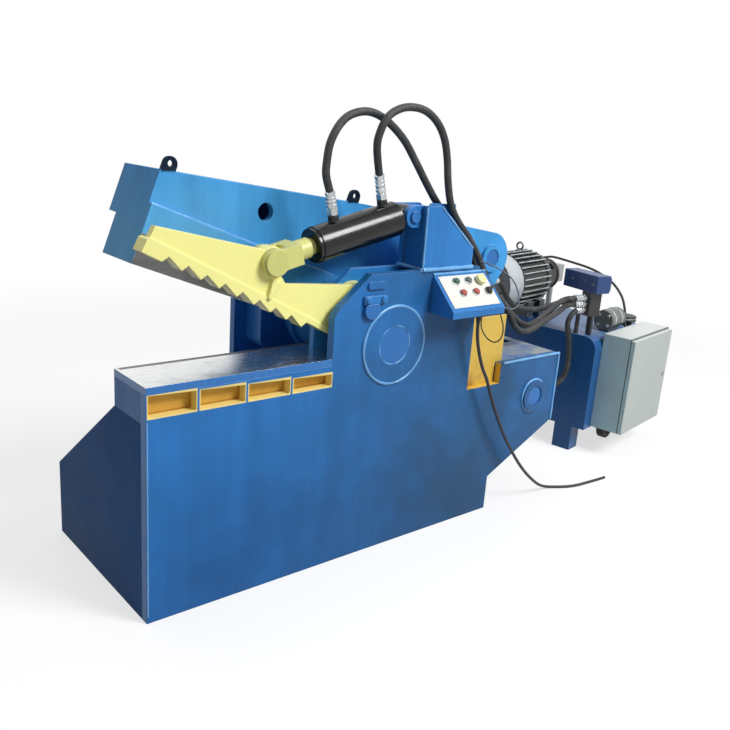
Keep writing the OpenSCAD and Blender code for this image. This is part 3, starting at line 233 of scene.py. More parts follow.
def edge_at(radius, a, six):
    """How far out a round or six-sided bar's edge is at an angle."""
    return radius / math.cos((a % (math.pi / 3)) - math.pi / 6) if six else radius


def swept(name, route, radius, sides=20, closed=False):
    """A round tube along the route. radius is a number, or one (radius, six_sided) for each point.
    Its UV map runs once round the tube and along it in metres."""
    count = len(route)
    along = [(route[(i + 1) % count if closed else min(i + 1, count - 1)]
              - route[i - 1 if closed else max(i - 1, 0)]).normalized() for i in range(count)]
    side = along[0].orthogonal().normalized()
    verts, lengths, run = [], [], 0.0
    for i in range(count):
        side = (side - side.dot(along[i]) * along[i]).normalized()
        other = along[i].cross(side)
        run += (route[i] - route[i - 1]).length if i else 0
        lengths.append(run)
        r, six = radius[i] if isinstance(radius, list) else (radius, False)
        for k in range(sides):
            a = 2 * math.pi * k / sides
            verts.append(route[i] + edge_at(r, a, six) * (math.cos(a) * side + math.sin(a) * other))
    faces = [(i * sides + k, i * sides + (k + 1) % sides,
              (i + 1) % count * sides + (k + 1) % sides, (i + 1) % count * sides + k)
             for i in range(count if closed else count - 1) for k in range(sides)]
    if not closed:
        faces.append(tuple(reversed(range(sides))))
        faces.append(tuple((count - 1) * sides + k for k in range(sides)))
    mesh = bpy.data.meshes.new(name)
    mesh.from_pydata([tuple(v) for v in verts], [], faces)
    layer = mesh.uv_layers.new(name="along")
    for n, face in enumerate(mesh.polygons):
        i, k = divmod(n, sides)
        face.use_smooth = len(face.vertices) == 4
        if i < count and face.use_smooth:
            for c, loop in enumerate(face.loop_indices):
                layer.data[loop].uv = ((k + (c in (1, 2))) / sides,
                                       lengths[min(i + (c in (2, 3)), count - 1)])
    return shown(name, mesh)


def dress(thing, look, body=None):
    """Gives a finished piece its material and the body it rides on."""
    thing.data.materials.clear()
    thing.data.materials.append(look)
    if body:
        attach(thing, body)
    return thing


def material(name):
    made = bpy.data.materials.new(name)
    made.use_nodes = True
    return made, made.node_tree, made.node_tree.nodes["Principled BSDF"]


def shade(red, green, blue):
    """A colour from a paint card's 0 to 255 values."""
    def linear(v):
        v /= 255
        return v / 12.92 if v <= 0.04045 else ((v + 0.055) / 1.055) ** 2.4
    return (linear(red), linear(green), linear(blue), 1)


def mixed(tree, colour, other, share):
    """The first colour, or the other where share is 1. A plain colour is given as on a paint card."""
    other = shade(*other) if isinstance(other, tuple) else other
    return add(tree, "Mix", {6: colour, 7: other, 0: share}, data_type="RGBA").outputs[2]


def noise(tree, where, scale, detail, rough=0.5):
    return add(tree, "TexNoise", {"Vector": where, "Scale": scale, "Detail": detail,
                                  "Roughness": rough}).outputs[0]


def bumped(tree, skin, height, strength, distance, **normal):
    raised = add(tree, "Bump", {"Height": height, "Strength": strength, "Distance": distance, **normal})
    tree.links.new(raised.outputs[0], skin.inputs["Normal"])


def rubber(name, colour, dust, fine):
    """Rubber with a fine ribbed skin, worn grey and dusty in patches."""
    made, tree, skin = material(name)
    uv = add(tree, "UVMap", uv_map="along").outputs[0]
    lie = add(tree, "Mapping", {"Vector": uv, "Scale": (3, 60, 1)}).outputs[0]
    patch = noise(tree, lie, 0.35, 5, 0.65)
    worn = ramp(tree, patch, 0.52, 0.78, 0.0, 0.55)
    tree.links.new(mixed(tree, shade(*colour), dust, worn), skin.inputs["Base Color"])
    tree.links.new(ramp(tree, patch, 0.0, 1.0, 0.34, 0.74), skin.inputs["Roughness"])
    lines = add(tree, "Mapping", {"Vector": uv, "Scale": (0.6, 1, 1), "Rotation": (0, 0, 0.5)}).outputs[0]
    weave = add(tree, "TexWave", {"Vector": lines, "Scale": fine, "Distortion": 0.6, "Detail": 1},
                bands_direction="Y")
    bumped(tree, skin, weave.outputs["Fac"], 0.22, 0.0006)
    return made


hose_rubber = rubber("hose_rubber", (34, 35, 37), (112, 111, 106), 130)
cable_rubber = rubber("cable_rubber", (34, 36, 40), (78, 82, 86), 40)

FRONT_HOSE = [
    (-262, 76, 555), (-262, 77, 592), (-253, 77, 649), (-225, 77, 700),
    (-186, 77, 733), (-130, 77, 748), (-76, 77, 742), (-18, 77, 715), (44, 77, 669),
    (98, 77, 608), (154, 77, 540), (208, 78, 480), (264, 80, 432), (330, 84, 386),
    (398, 90, 325), (450, 96, 255), (500, 103, 185), (560, 110, 130), (630, 118, 88),
    (700, 138, 62), (745, 156, 38), (779, 163, 15), (826, 167, -15), (872, 169, -38),
    (920, 171, -47), (997, 183, -29), (1094, 205, -3), (1189, 236, 14), (1260, 254, 19)]
REAR_HOSE = [
    (-86, 57, 645), (-84, 49, 693),
    (-60, 45, 738), (-13, 45, 764), (43, 45, 772), (100, 43, 762), (150, 41, 730),
    (185, 39, 681), (205, 38, 618), (217, 37, 549), (236, 37, 484), (262, 38, 440),
    (300, 40, 400), (345, 43, 362), (390, 49, 318), (425, 54, 282), (463, 60, 234),
    (500, 66, 190), (560, 76, 140), (620, 86, 95), (680, 98, 50), (727, 110, 4),
    (772, 120, -34), (834, 127, -57), (890, 131, -50), (966, 143, -32), (1049, 163, -19),
    (1150, 197, -10), (1240, 238, -7)]
TOP_HOSE = [(890, 338, 104), (928, 340, 66), (966, 340, 22), (1020, 336, -14),
            (1100, 330, -30), (1190, 326, -32)]
BOTTOM_HOSE = [
    (757, 466, -176), (782, 489, -190), (836, 496, -232), (903, 488, -290),
    (985, 468, -335), (1070, 430, -372), (1150, 380, -398), (1225, 322, -408),
    (1285, 276, -398), (1322, 256, -362), (1338, 251, -308), (1336, 251, -240),
    (1322, 252, -172), (1305, 254, -126), (1299, 254, -98), (1304, 252, -70), (1319, 248, -49),
    (1341, 243, -38)]
# The loose cable: along, out from the near face, and up as a share of the box's height
CONTROL_CABLE = [
    (345, 50, 1), (345.8, 50, 0.94), (352, 50, 0.88), (370, 50, 0.81), (396, 50, 0.74),
    (427, 50, 0.68), (468, 50, 0.58), (514, 50, 0.48), (564, 50, 0.385), (624, 49, 0.29),
    (694, 46, 0.195), (762, 41, 0.12), (842, 32, 0.05), (910, 22, 0.01), (962, 38, 0),
    (1012, 64, 0), (1064, 78, 0), (1124, 84, 0), (1185, 89, 0), (1243, 92, 0)]
MOTOR_CABLE = [
    (189.5, 670, 199), (204, 670, 199), (218, 670, 199), (262, 665, 200), (330, 648, 206),
    (392, 620, 222), (430, 586, 243), (442, 540, 260), (441, 494, 266), (433, 390, 257),
    (418, 298, 248), (400, 229, 236), (384, 170, 218), (368, 122, 197), (354, 82, 168),
    (344, 52, 134), (335, 30, 85), (332, 22, 40), (331, 14, 14), (330, 2, -2), (330, -16, -6)]
routes = {
    "clamp_hose_front": [clamp_port(0.290, clamp_out + g) for g in (PORT_GAP, 0.022, 0.044, 0.072)]
    + [on_machine(*p) for p in FRONT_HOSE]
    + [manifold_port(out, 174) for out in (80, 40, 0.5)],
    "clamp_hose_rear": [clamp_port(0.091, clamp_out + g) for g in (PORT_GAP, 0.022, 0.044, 0.080)]
    + [on_machine(*p) for p in REAR_HOSE]
    + [manifold_port(out, 146) for out in (80, 40, 0.5)],
    "main_hose_top": [main_port(0.375, main_out + g) for g in (PORT_GAP, 0.022, 0.045)]
    + [on_machine(*p) for p in TOP_HOSE]
    + [on_unit(-30, 198, 134), on_unit(20, 193, 134), on_unit(51, 172, 134)]
    + [on_unit(33, 86 + out, 134, VALVES) for out in (40, 20, 0.5)],
    "main_hose_bottom": [main_port(0.110, 0) + Vector((0, main_out + g, 0)) for g in (PORT_GAP, 0.016)]
    + [on_machine(*p) for p in BOTTOM_HOSE]
    + [manifold_port(out, 118) for out in (20, 0.5)],
}
curves = {name: smooth(route, 8) for name, route in routes.items()}
# Each hose is swept along its whole route as one fixed piece; the body and the two points listed with it are not
# used.
for name, body, start, end in (
        ("clamp_hose_front", "clamp_barrel", (-0.26, -0.26, 1.25), (0.10, -0.26, 1.25)),
        ("clamp_hose_rear", "clamp_barrel", (-0.07, -0.27, 1.30), (0.19, -0.30, 1.30)),
        ("main_hose_top", "main_barrel", (0.84, 0, 0.86), (1.06, 0, 0.70)),
        ("main_hose_bottom", "main_barrel", (0.757, 0.115, 0.545), (0.836, 0.20, 0.46))):
    hose = swept(name + "_rubber", curves[name], HOSE / 2)
    dress(hose, hose_rubber)
    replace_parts(hose, name)
    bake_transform(hose)

motor_lead = swept("motor_cable_sheath", smooth([on_unit(*p) for p in MOTOR_CABLE], 8), CABLE / 2, 14)
dress(motor_lead, cable_rubber, "machine")
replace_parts(motor_lead, "motor_cable")


BOX_TOP, BOX_DEEP, BOX_DROP, BOX_LIP = 0.962, 0.110, 0.106, 0.024
box_foot = BOX_TOP - BOX_DROP - BOX_LIP
rest_height = CABLE / 2 + 0.0008
cable_route = smooth([Vector((p[0] / 1000, NEAR - p[1] / 1000,
                              rest_height + p[2] * (box_foot - rest_height)))
                      for p in CONTROL_CABLE], 8)
loose_cable = swept("control_cable_sheath", cable_route, CABLE / 2, 16)
dress(loose_cable, cable_rubber, "machine")
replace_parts(loose_cable, "control_cable")

# ------------------------------------------------------------------ machine enamel
# Thick glossy enamel brushed over welded plate. It clouds, runs and scuffs, its edges are
# pale, partly from wear and partly as a painted highlight, and workshop dust lies on what faces up.


def group(name, inputs, outputs):
    """An empty shader group with named sockets. Returns it with its input and output nodes."""
    made = bpy.data.node_groups.new(name, "ShaderNodeTree")
    kinds = {4: "NodeSocketColor", 3: "NodeSocketVector"}
    for key, value in inputs.items():
        size = len(value) if hasattr(value, "__len__") else 1
        socket = made.interface.new_socket(name=key, in_out="INPUT",
                                           socket_type=kinds.get(size, "NodeSocketFloat"))
        socket.default_value = value
    for key, size in outputs.items():
        made.interface.new_socket(name=key, in_out="OUTPUT",
                                  socket_type=kinds.get(size, "NodeSocketFloat"))
    return made, made.nodes.new("NodeGroupInput").outputs, made.nodes.new("NodeGroupOutput").inputs


def place(tree, shared, sockets):
    """Puts a shared group in a material."""
    return add(tree, "Group", sockets, node_tree=shared).outputs


# Paler edges: partly wear, partly a painted highlight where the edges would catch the light.
edge_wear_and_glint, edge_glint_in, edge_glint_out = group("edge_wear_and_glint", {"Radius": 0.004, "Breaks": 40.0}, {"Mask": 1, "Normal": 3})
rounded = add(edge_wear_and_glint, "Bevel", {"Radius": edge_glint_in["Radius"]}, samples=6).outputs[0]
true_face = add(edge_wear_and_glint, "NewGeometry").outputs["Normal"]
facing = add(edge_wear_and_glint, "VectorMath", {0: rounded, 1: true_face}, operation="DOT_PRODUCT").outputs["Value"]
broken = noise(edge_wear_and_glint, own_place(edge_wear_and_glint), edge_glint_in["Breaks"], 3)
worn_and_glinting = times(edge_wear_and_glint, ramp(edge_wear_and_glint, facing, 0.995, 0.86), ramp(edge_wear_and_glint, broken, 0.35, 0.6))
edge_wear_and_glint.links.new(worn_and_glinting, edge_glint_out["Mask"])
edge_wear_and_glint.links.new(rounded, edge_glint_out["Normal"])

coat, coat_in, coat_out = group(
    "brushed_enamel",
    {"Paint": (0.1, 0.3, 0.6, 1), "Worn and glinting": (0.5, 0.7, 0.9, 1), "Dust": (0.5, 0.5, 0.48, 1),
     "Clouds": 0.22, "Runs": 0.14, "Scuffs": 0.35, "Dusty": 0.3, "Edge": 0.0, "Gloss": 0.3},
    {"Colour": 4, "Roughness": 1, "Height": 1})
spot = own_place(coat)
wide = noise(coat, spot, 2.1, 3)
small = noise(coat, spot, 11, 5, 0.6)
hang = add(coat, "Mapping", {"Vector": spot, "Scale": (9, 9, 0.7)}).outputs[0]
run_marks = noise(coat, hang, 1.4, 4)
peel = noise(coat, spot, 190, 2)
chips = noise(coat, spot, 34, 6, 0.72)


def centred(tree, value, amount):
    """(value - 0.5) times amount times 2."""
    return times(tree, times(tree, maths(tree, "SUBTRACT", value, 0.5), 2.0), amount)


tone = maths(coat, "ADD", centred(coat, wide, coat_in["Clouds"]), centred(coat, run_marks, coat_in["Runs"]))
tone = maths(coat, "ADD", tone, centred(coat, small, times(coat, coat_in["Clouds"], 0.5)))
tone = maths(coat, "ADD", tone, 1.0)
tinted = add(coat, "VectorMath", {0: coat_in["Paint"], "Scale": tone}, operation="SCALE").outputs[0]
scuffed = times(coat, ramp(coat, chips, 0.66, 0.74), coat_in["Scuffs"])
with_scuffs = mixed(coat, tinted, coat_in["Worn and glinting"], maths(coat, "MAXIMUM", scuffed, coat_in["Edge"]))


def own_normal(tree):
    """The face's direction in the piece's own frame, so that its marks stay put when it moves."""
    lie = add(tree, "NewGeometry").outputs["True Normal"]
    return add(tree, "VectorTransform", {0: lie}, vector_type="NORMAL", convert_from="WORLD",
               convert_to="OBJECT").outputs[0]


upward = add(coat, "SeparateXYZ", {0: own_normal(coat)}).outputs[2]
dusted = times(coat, times(coat, ramp(coat, upward, 0.75, 0.98), ramp(coat, small, 0.32, 0.62)),
               coat_in["Dusty"])
coat.links.new(mixed(coat, with_scuffs, coat_in["Dust"], dusted), coat_out["Colour"])
uneven_gloss = maths(coat, "ADD", ramp(coat, small, 0.0, 1.0, -0.09, 0.16), coat_in["Gloss"])
coat.links.new(maths(coat, "MULTIPLY_ADD", dusted, 0.5, uneven_gloss), coat_out["Roughness"])
coat.links.new(maths(coat, "MULTIPLY_ADD", small, 2.2, peel), coat_out["Height"])


def enamel(name, paint, worn_and_glinting, dust=(150, 155, 158), clouds=0.2, runs=0.14, scuffs=0.3,
           dusty=0.3, gloss=0.3, edge_paling=0.75, bevel=0.004, relief=0.0012, shine=0.5, marks=None):
    """An enamel. marks(tree, colour) may add what only this piece shows, and returns the colour."""
    made, tree, skin = material(name)
    edges_of = place(tree, edge_wear_and_glint, {"Radius": bevel, "Breaks": 26.0})
    skin_of = place(tree, coat, {
        "Paint": shade(*paint), "Worn and glinting": shade(*worn_and_glinting), "Dust": shade(*dust), "Clouds": clouds, "Runs": runs,
        "Scuffs": scuffs, "Dusty": dusty, "Edge": times(tree, edges_of["Mask"], edge_paling), "Gloss": gloss})
    colour = marks(tree, skin_of["Colour"]) if marks else skin_of["Colour"]
    tree.links.new(colour, skin.inputs["Base Color"])
    tree.links.new(skin_of["Roughness"], skin.inputs["Roughness"])
    bumped(tree, skin, skin_of["Height"], 0.35, relief, Normal=edges_of["Normal"])
    skin.inputs["Specular IOR Level"].default_value = shine
    return made


def inside(tree, lows, highs, soft=0.004):
    """1 inside a box of the machine's frame, with soft sides. A side that is None stays open."""
    split = add(tree, "SeparateXYZ", {0: own_place(tree)}).outputs
    total = None
    for axis in range(3):
        for limit, sign in ((lows[axis], 1), (highs[axis], -1)):
            if limit is not None:
                edge = ramp(tree, split[axis], limit - sign * soft, limit + sign * soft)
                total = edge if total is None else times(tree, total, edge)
    return total


def looking(tree, way, start, full, most=1.0):
    """0 to most as a face turns towards way, by the cosine between them."""
    towards = add(tree, "VectorMath", {0: own_normal(tree), 1: tuple(way)}, operation="DOT_PRODUCT")
    return ramp(tree, towards.outputs["Value"], start, full, 0.0, most)


def patches(tree, scale, detail, start, full, low=0.0, high=1.0, rough=0.5):
    """Uneven patches of low to high."""
    return ramp(tree, noise(tree, own_place(tree), scale, detail, rough), start, full, low, high)


BLUE, PALE_BLUE = (40, 116, 190), (120, 178, 226)
GOLD, LIGHT_GOLD = (220, 184, 78), (246, 224, 140)
WINDOWS, WINDOW_STEP, FIRST_START, FIRST_END = 4, 0.158, -0.873, -0.729     # the anvil's windows


def near_shade_and_gold(tree, colour):
    """Painted shade low on the plate, a darker blue towards its rear, and yellow on the windows' rims and in the
    recess.
    """
    split = add(tree, "SeparateXYZ", {0: own_place(tree)}).outputs
    uneven = patches(tree, 3.2, 5, 0.30, 0.62, 0.45, 1.0, 0.6)
    # Painted shade: the plate is darker towards the bottom, in uneven patches.
    low = ramp(tree, split[2], 0.66, 0.12, 0.0, 0.62)
    colour = mixed(tree, colour, (12, 66, 122), times(tree, low, uneven))
    rear = ramp(tree, split[0], -0.55, 0.3, 0.02, 0.85)
    colour = mixed(tree, colour, (30, 72, 106), times(tree, rear, uneven))
    for i in range(WINDOWS):
        start = FIRST_START + WINDOW_STEP * i
        rim = inside(tree, (start - 0.0035, None, 0.6285), (start + 0.1475, None, 0.6985 - 0.0066 * i), 0.0010)
        colour = mixed(tree, colour, LIGHT_GOLD, rim)
    recess = inside(tree, (0.3805, NEAR + 0.001, 0.5195), (0.5605, None, 0.61), 0.0005)
    return mixed(tree, colour, GOLD, recess)


def nose_side_shade(tree, colour, most):
    """Painted shade on the faces that look towards the nose."""
    forward = looking(tree, (-1, 0, 0), 0.35, 0.8, most)
    return mixed(tree, colour, (10, 62, 118), times(tree, forward, patches(tree, 4.0, 5, 0.2, 0.6, 0.7)))


def rear_edge(tree, colour):
    """Painted shade on the bed's faces towards the nose, and gold over its rear wall where that shows in the recess.
    """
    shaded_bed = nose_side_shade(tree, colour, 0.75)
    return mixed(tree, shaded_bed, GOLD, inside(tree, (0.52, None, 0.505), (0.58, -0.29, 0.62), 0.0008))


def dark_eyes(tree, colour):
    """Soot and old grease on the jaw's two lifting eyes, a paler patch on its nose, and a little painted shade on its
    faces towards the nose.
    """
    for x, z in ((-0.698, 1.287), (-0.027, 1.197)):
        grease = inside(tree, (x - 0.03, None, z - 0.021), (x + 0.03, -0.101, z + 0.03), 0.003)
        colour = mixed(tree, colour, (26, 40, 58), grease)
    pale = inside(tree, (-0.95, None, None), (-0.5, None, 1.18), 0.1)
    return nose_side_shade(tree, mixed(tree, colour, (126, 188, 224), times(tree, pale, 0.4)), 0.15)


blue_plate = enamel("blue_plate", (46, 124, 200), PALE_BLUE, clouds=0.34, runs=0.3, scuffs=0.4, shine=0.24,
                    marks=near_shade_and_gold)
blue_paint = enamel("blue_paint", (48, 124, 196), PALE_BLUE, clouds=0.3, runs=0.3, scuffs=0.4, shine=0.26)
blue_bed = enamel("blue_bed", (34, 106, 174), PALE_BLUE, scuffs=0.35, shine=0.02, marks=rear_edge)
# The jaw's enamel is a lighter copy of the blue: painted light for the stronger light that falls on it high up.
lit_blue_jaw = enamel("lit_blue_jaw", (74, 158, 222), PALE_BLUE, clouds=0.3, runs=0.4, scuffs=0.5, shine=0.05,
                  marks=dark_eyes)
blue_dusty = enamel("blue_dusty", (40, 104, 168), PALE_BLUE, dusty=1.0, scuffs=0.5, shine=0.3)
blue_tank = enamel("blue_tank", (34, 88, 146), (110, 160, 210), dusty=0.5, shine=0.35)


def coated(look, *names):
    """Gives CAD pieces their material."""
    for name in names:
        dress(nodes[name], look)


coated(blue_plate, "near_side_plate")
coated(blue_bed, "bed_frame")
coated(blue_paint, "far_side_plate", "inner_cheek", "tower", "keeper_plate", "bearing_block", "control_box")
coated(lit_blue_jaw, "upper_jaw")
coated(blue_dusty, "rear_box")
coated(blue_tank, "oil_tank")

# ------------------------------------------------------------------ yellow paint
# Golden yellow inside the windows and the recess, with brown dirt low in the recess and painted
# shade low in the windows, and a paler lemon yellow on the clamp arm, its pin and its rod.


def low_dirt(tree, colour):
    """Brown dirt low in the recess, on the nose side."""
    split = add(tree, "SeparateXYZ", {0: own_place(tree)}).outputs
    amount = times(tree, ramp(tree, split[2], 0.640, 0.525), ramp(tree, split[0], 0.56, 0.39, 0.25))
    return mixed(tree, colour, (150, 98, 40), times(tree, amount, patches(tree, 16, 5, 0.3, 0.6)))


def window_shade(tree, colour):
    """Painted shade, browner low down in each window. The beam's nose end and its blade side are blue."""
    spot = own_place(tree)
    low = ramp(tree, add(tree, "SeparateXYZ", {0: spot}).outputs[2], 0.70, 0.635)
    shaded_gold = mixed(tree, colour, (196, 140, 60), times(tree, low, noise(tree, spot, 9, 4)))
    nose_end = inside(tree, (None, None, None), (-0.8745, None, None), 0.0005)
    shaded_gold = mixed(tree, shaded_gold, (40, 108, 172), nose_end)
    blade_side = inside(tree, (None, -0.200, None), (None, None, None), 0.002)
    return mixed(tree, shaded_gold, (34, 98, 164), blade_side)


def under_teeth(tree, colour):
    """Painted shade with grime and chipped paint on the arm's undersides, where the teeth bite."""
    under = looking(tree, (0, 0, -1), 0.25, 0.6, 0.85)
    return mixed(tree, colour, (92, 84, 48), times(tree, under, patches(tree, 14, 4, 0.25, 0.6, 0.5)))


gold_liner = enamel("gold_liner", GOLD, LIGHT_GOLD, clouds=0.1, runs=0.1, dusty=0.2, gloss=0.38,
                    marks=low_dirt)
# The windows' gold is a lighter copy of the liner's gold: painted light in the shaded pockets.
gold_window = enamel("gold_window", (234, 196, 96), (250, 230, 150), clouds=0.4, runs=0.2,
                     dusty=0.1, gloss=0.34, shine=0.15, marks=window_shade)
lemon_arm = enamel("lemon_arm", (252, 247, 156), (255, 252, 214), dust=(214, 208, 160), clouds=0.05,
                   runs=0.04, scuffs=0.25, dusty=0.25, gloss=0.36, edge_paling=0.5, marks=under_teeth)
lemon_fork = enamel("lemon_fork", (210, 210, 126), (250, 248, 206), dust=(150, 146, 100),
                    clouds=0.14, runs=0.1, scuffs=0.4, dusty=0.5, gloss=0.34, edge_paling=0.6)
coated(gold_liner, "recess_liner")
coated(gold_window, "anvil_beam")
coated(lemon_arm, "clamp_arm")
coated(lemon_fork, "fork_pin")
dress(nodes["clamp_rod"], lemon_fork)      # its fork shows, and is painted with the arm

# ------------------------------------------------------------------ bare steel
# The bed's top plate is worn bright with long scratches; the blades are dark ground tool steel;
# the shafts are painted over where their ends show.
ALONG_X = (6.0, 220.0, 220.0)           # how much finer the grinding lines are across each axis
grain, grain_in, grain_out = group(
    "ground_steel",
    {"Steel": (0.5, 0.5, 0.5, 1), "Stain": (0.1, 0.09, 0.08, 1), "Stained": 0.3, "Polish": 0.3,
     "Stretch": ALONG_X},
    {"Colour": 4, "Roughness": 1, "Height": 1})
spot = own_place(grain)
drawn = add(grain, "VectorMath", {0: spot, 1: grain_in["Stretch"]}, operation="MULTIPLY").outputs[0]
lines = noise(grain, drawn, 1.0, 4, 0.6)
blots = ramp(grain, noise(grain, spot, 7, 6, 0.66), 0.50, 0.78)
flecks = ramp(grain, add(grain, "TexVoronoi", {"Vector": spot, "Scale": 55}).outputs["Distance"], 0.10, 0.04)
stain = times(grain, maths(grain, "MAXIMUM", blots, flecks), grain_in["Stained"])
drawn_steel = add(grain, "VectorMath", {0: grain_in["Steel"], "Scale": ramp(grain, lines, 0.25, 0.75, 0.82, 1.14)},
                  operation="SCALE").outputs[0]
grain.links.new(mixed(grain, drawn_steel, grain_in["Stain"], stain), grain_out["Colour"])
grind = maths(grain, "ADD", ramp(grain, lines, 0.0, 1.0, -0.07, 0.12), grain_in["Polish"])
grain.links.new(maths(grain, "MULTIPLY_ADD", stain, 0.35, grind), grain_out["Roughness"])
grain.links.new(lines, grain_out["Height"])


def steel(name, colour, stain, stained=0.3, polish=0.3, stretch=ALONG_X, metallic=1.0,
          bevel=0.002, relief=0.0003, painted=None):
    """A ground or drawn steel. painted(tree) may give the share of each place that enamel covers."""
    made, tree, skin = material(name)
    edges_of = place(tree, edge_wear_and_glint, {"Radius": bevel, "Breaks": 60.0})
    bare = place(tree, grain, {"Steel": shade(*colour), "Stain": shade(*stain), "Stained": stained,
                               "Polish": polish, "Stretch": stretch})
    # Pale edges on the steel: partly wear, partly a painted glint.
    colour_of = mixed(tree, bare["Colour"], (225, 228, 230), times(tree, edges_of["Mask"], 0.55))
    skin.inputs["Metallic"].default_value = metallic
    if painted:
        cover = painted(tree)
        colour_of = mixed(tree, colour_of, BLUE, cover)
        tree.links.new(ramp(tree, cover, 0.0, 1.0, metallic, 0.0), skin.inputs["Metallic"])
    tree.links.new(colour_of, skin.inputs["Base Color"])
    tree.links.new(bare["Roughness"], skin.inputs["Roughness"])
    bumped(tree, skin, bare["Height"], 0.3, relief, Normal=edges_of["Normal"])
    return made


def plate_sides(tree):
    """1 on the sides and ends of the bed's top plate, which are painted with the bed."""
    face = add(tree, "SeparateXYZ", {0: add(tree, "NewGeometry").outputs["True Normal"]})
    return ramp(tree, face.outputs[2], 0.6, 0.4)


bed_steel = steel("bed_steel", (238, 240, 238), (92, 84, 74), 0.42, 0.22, (7.0, 160.0, 160.0),
                  painted=plate_sides)
blade_steel = steel("blade_steel", (122, 122, 124), (58, 48, 42), 0.5, 0.42, metallic=0.85)
plain_steel = steel("plain_steel", (168, 170, 172), (80, 72, 62))
bolt_steel = steel("bolt_steel", (118, 120, 122), (52, 46, 42), 0.5, 0.4, (120.0, 120.0, 120.0))
shaft_end = enamel("painted_shaft", (40, 110, 182), PALE_BLUE, clouds=0.15, dusty=0.2, shine=0.4)
rod_steel = steel("ground_rod", (200, 203, 206), (120, 112, 100), 0.1, 0.16, (240.0, 240.0, 18.0))
bronze = steel("turned_bronze", (196, 152, 84), (96, 72, 40), 0.3, 0.3, (240.0, 30.0, 240.0))
coated(bed_steel, "bed_top")
coated(blade_steel, "lower_blade", "upper_blade")
coated(bolt_steel, "lower_blade_bolts", "upper_blade_bolts")
coated(shaft_end, "pivot_shaft", "rear_pin", "clamp_pin", "lug_pin", "tail_pin")
coated(bronze, "jaw_bush")
coated(rod_steel, "main_rod")
coated(plain_steel, "main_gland")

# ------------------------------------------------------------------ black, grey and white parts
# The cylinders are enamelled black, the cabinet pale grey and the motor dark grey, and the cast
# parts are black, blue or grey. The panel is a painted sheet; its buttons are moulded plastic.
cylinder_black = enamel("cylinder_black", (8, 9, 11), (84, 88, 92), dust=(96, 98, 100),
                        scuffs=0.25, dusty=0.12, gloss=0.16, edge_paling=0.4, relief=0.0004, shine=0.42)
panel_white = enamel("panel_white", (226, 226, 218), (250, 250, 248), clouds=0.04, runs=0.03,
                     scuffs=0.2, dusty=0.0, gloss=0.4, edge_paling=0.3, bevel=0.001)
CABINET_FRONT = 0.1347   # from the unit's origin out to the front edge of the cabinet's body


def cabinet_painted_light(tree, colour):
    """A painted blue reflection on the left side, a painted highlight on the top, and painted shade in the seam
    between the body and its door.
    """
    spot = own_place(tree)
    side = times(tree, looking(tree, -along_unit, 0.6, 0.95, 0.95), noise(tree, spot, 5, 3))
    colour = mixed(tree, colour, (188, 240, 250), side)
    colour = mixed(tree, colour, (228, 232, 230), looking(tree, (0, 0, 1), 0.6, 0.95, 0.6))
    out = add(tree, "VectorMath", {0: spot, 1: tuple(-across_unit)}, operation="DOT_PRODUCT").outputs["Value"]
    front = CABINET_FRONT - across_unit.dot(UNIT.translation)
    seam = times(tree, ramp(tree, out, front - 0.0045, front - 0.0040),
                 ramp(tree, out, front + 0.0004, front - 0.0001))
    return mixed(tree, colour, (74, 84, 88), seam)


def fin_shade_and_highlights(tree, colour):
    """Painted shade dark between the fins, and painted highlights in patches on their tips."""
    centre = UNIT @ Vector((0, SHAFT_IN, MOTOR))
    arm = add(tree, "VectorMath", {0: own_place(tree), 1: tuple(centre)}, operation="SUBTRACT").outputs[0]
    side = add(tree, "VectorMath", {0: arm, 1: tuple(along_unit)}, operation="CROSS_PRODUCT").outputs[0]
    radius = add(tree, "VectorMath", {0: side}, operation="LENGTH").outputs["Value"]
    colour = mixed(tree, colour, (20, 23, 25), ramp(tree, radius, 0.134, 0.124, 0.0, 0.7))
    bright = times(tree, ramp(tree, radius, 0.1375, 0.1405), ramp(tree, radius, 0.147, 0.144))
    return mixed(tree, colour, (196, 202, 204), times(tree, bright, patches(tree, 16, 3, 0.3, 0.6, 0.35, 0.95)))


cabinet_grey = enamel("cabinet_grey", (178, 186, 182), (226, 230, 226), clouds=0.05, runs=0.05, scuffs=0.15,
                      dusty=0.15, gloss=0.4, edge_paling=0.5, bevel=0.003, relief=0.0006, marks=cabinet_painted_light)
motor_grey = enamel("motor_grey", (62, 67, 69), (214, 218, 220), dust=(150, 148, 142), clouds=0.18,
                    dusty=0.6, gloss=0.34, edge_paling=1.0, bevel=0.003, marks=fin_shade_and_highlights)
black_iron = enamel("black_iron", (40, 40, 42), (110, 110, 112), dust=(120, 116, 110), dusty=0.5, gloss=0.4)
valve_blue = enamel("valve_blue", (30, 62, 118), (104, 136, 186), clouds=0.15, dusty=0.4)
filter_grey = enamel("filter_grey", (104, 108, 104), (170, 172, 168), dusty=0.6, gloss=0.4)
pump_metal = steel("cast_pump", (168, 170, 168), (84, 80, 74), 0.5, 0.45, (60.0, 60.0, 60.0), 0.8)
tyre = enamel("wheel_rubber", (34, 34, 35), (80, 78, 74), dust=(120, 112, 100), dusty=0.7, gloss=0.6, edge_paling=0.3)
coated(cylinder_black, "clamp_cylinder", "clamp_gland", "main_cylinder")
coated(panel_white, "control_panel")
coated(cabinet_grey, "cabinet_body", "cabinet_door")
coated(motor_grey, "motor_frame", "motor_end_shields")
coated(black_iron, "terminal_box", "bell_housing", "manifold", "motor_fan")
coated(plain_steel, "motor_rotor", "door_lock")
coated(pump_metal, "pump")
coated(valve_blue, "valve_block")
coated(filter_grey, "return_filter")
coated(tyre, "unit_wheels")


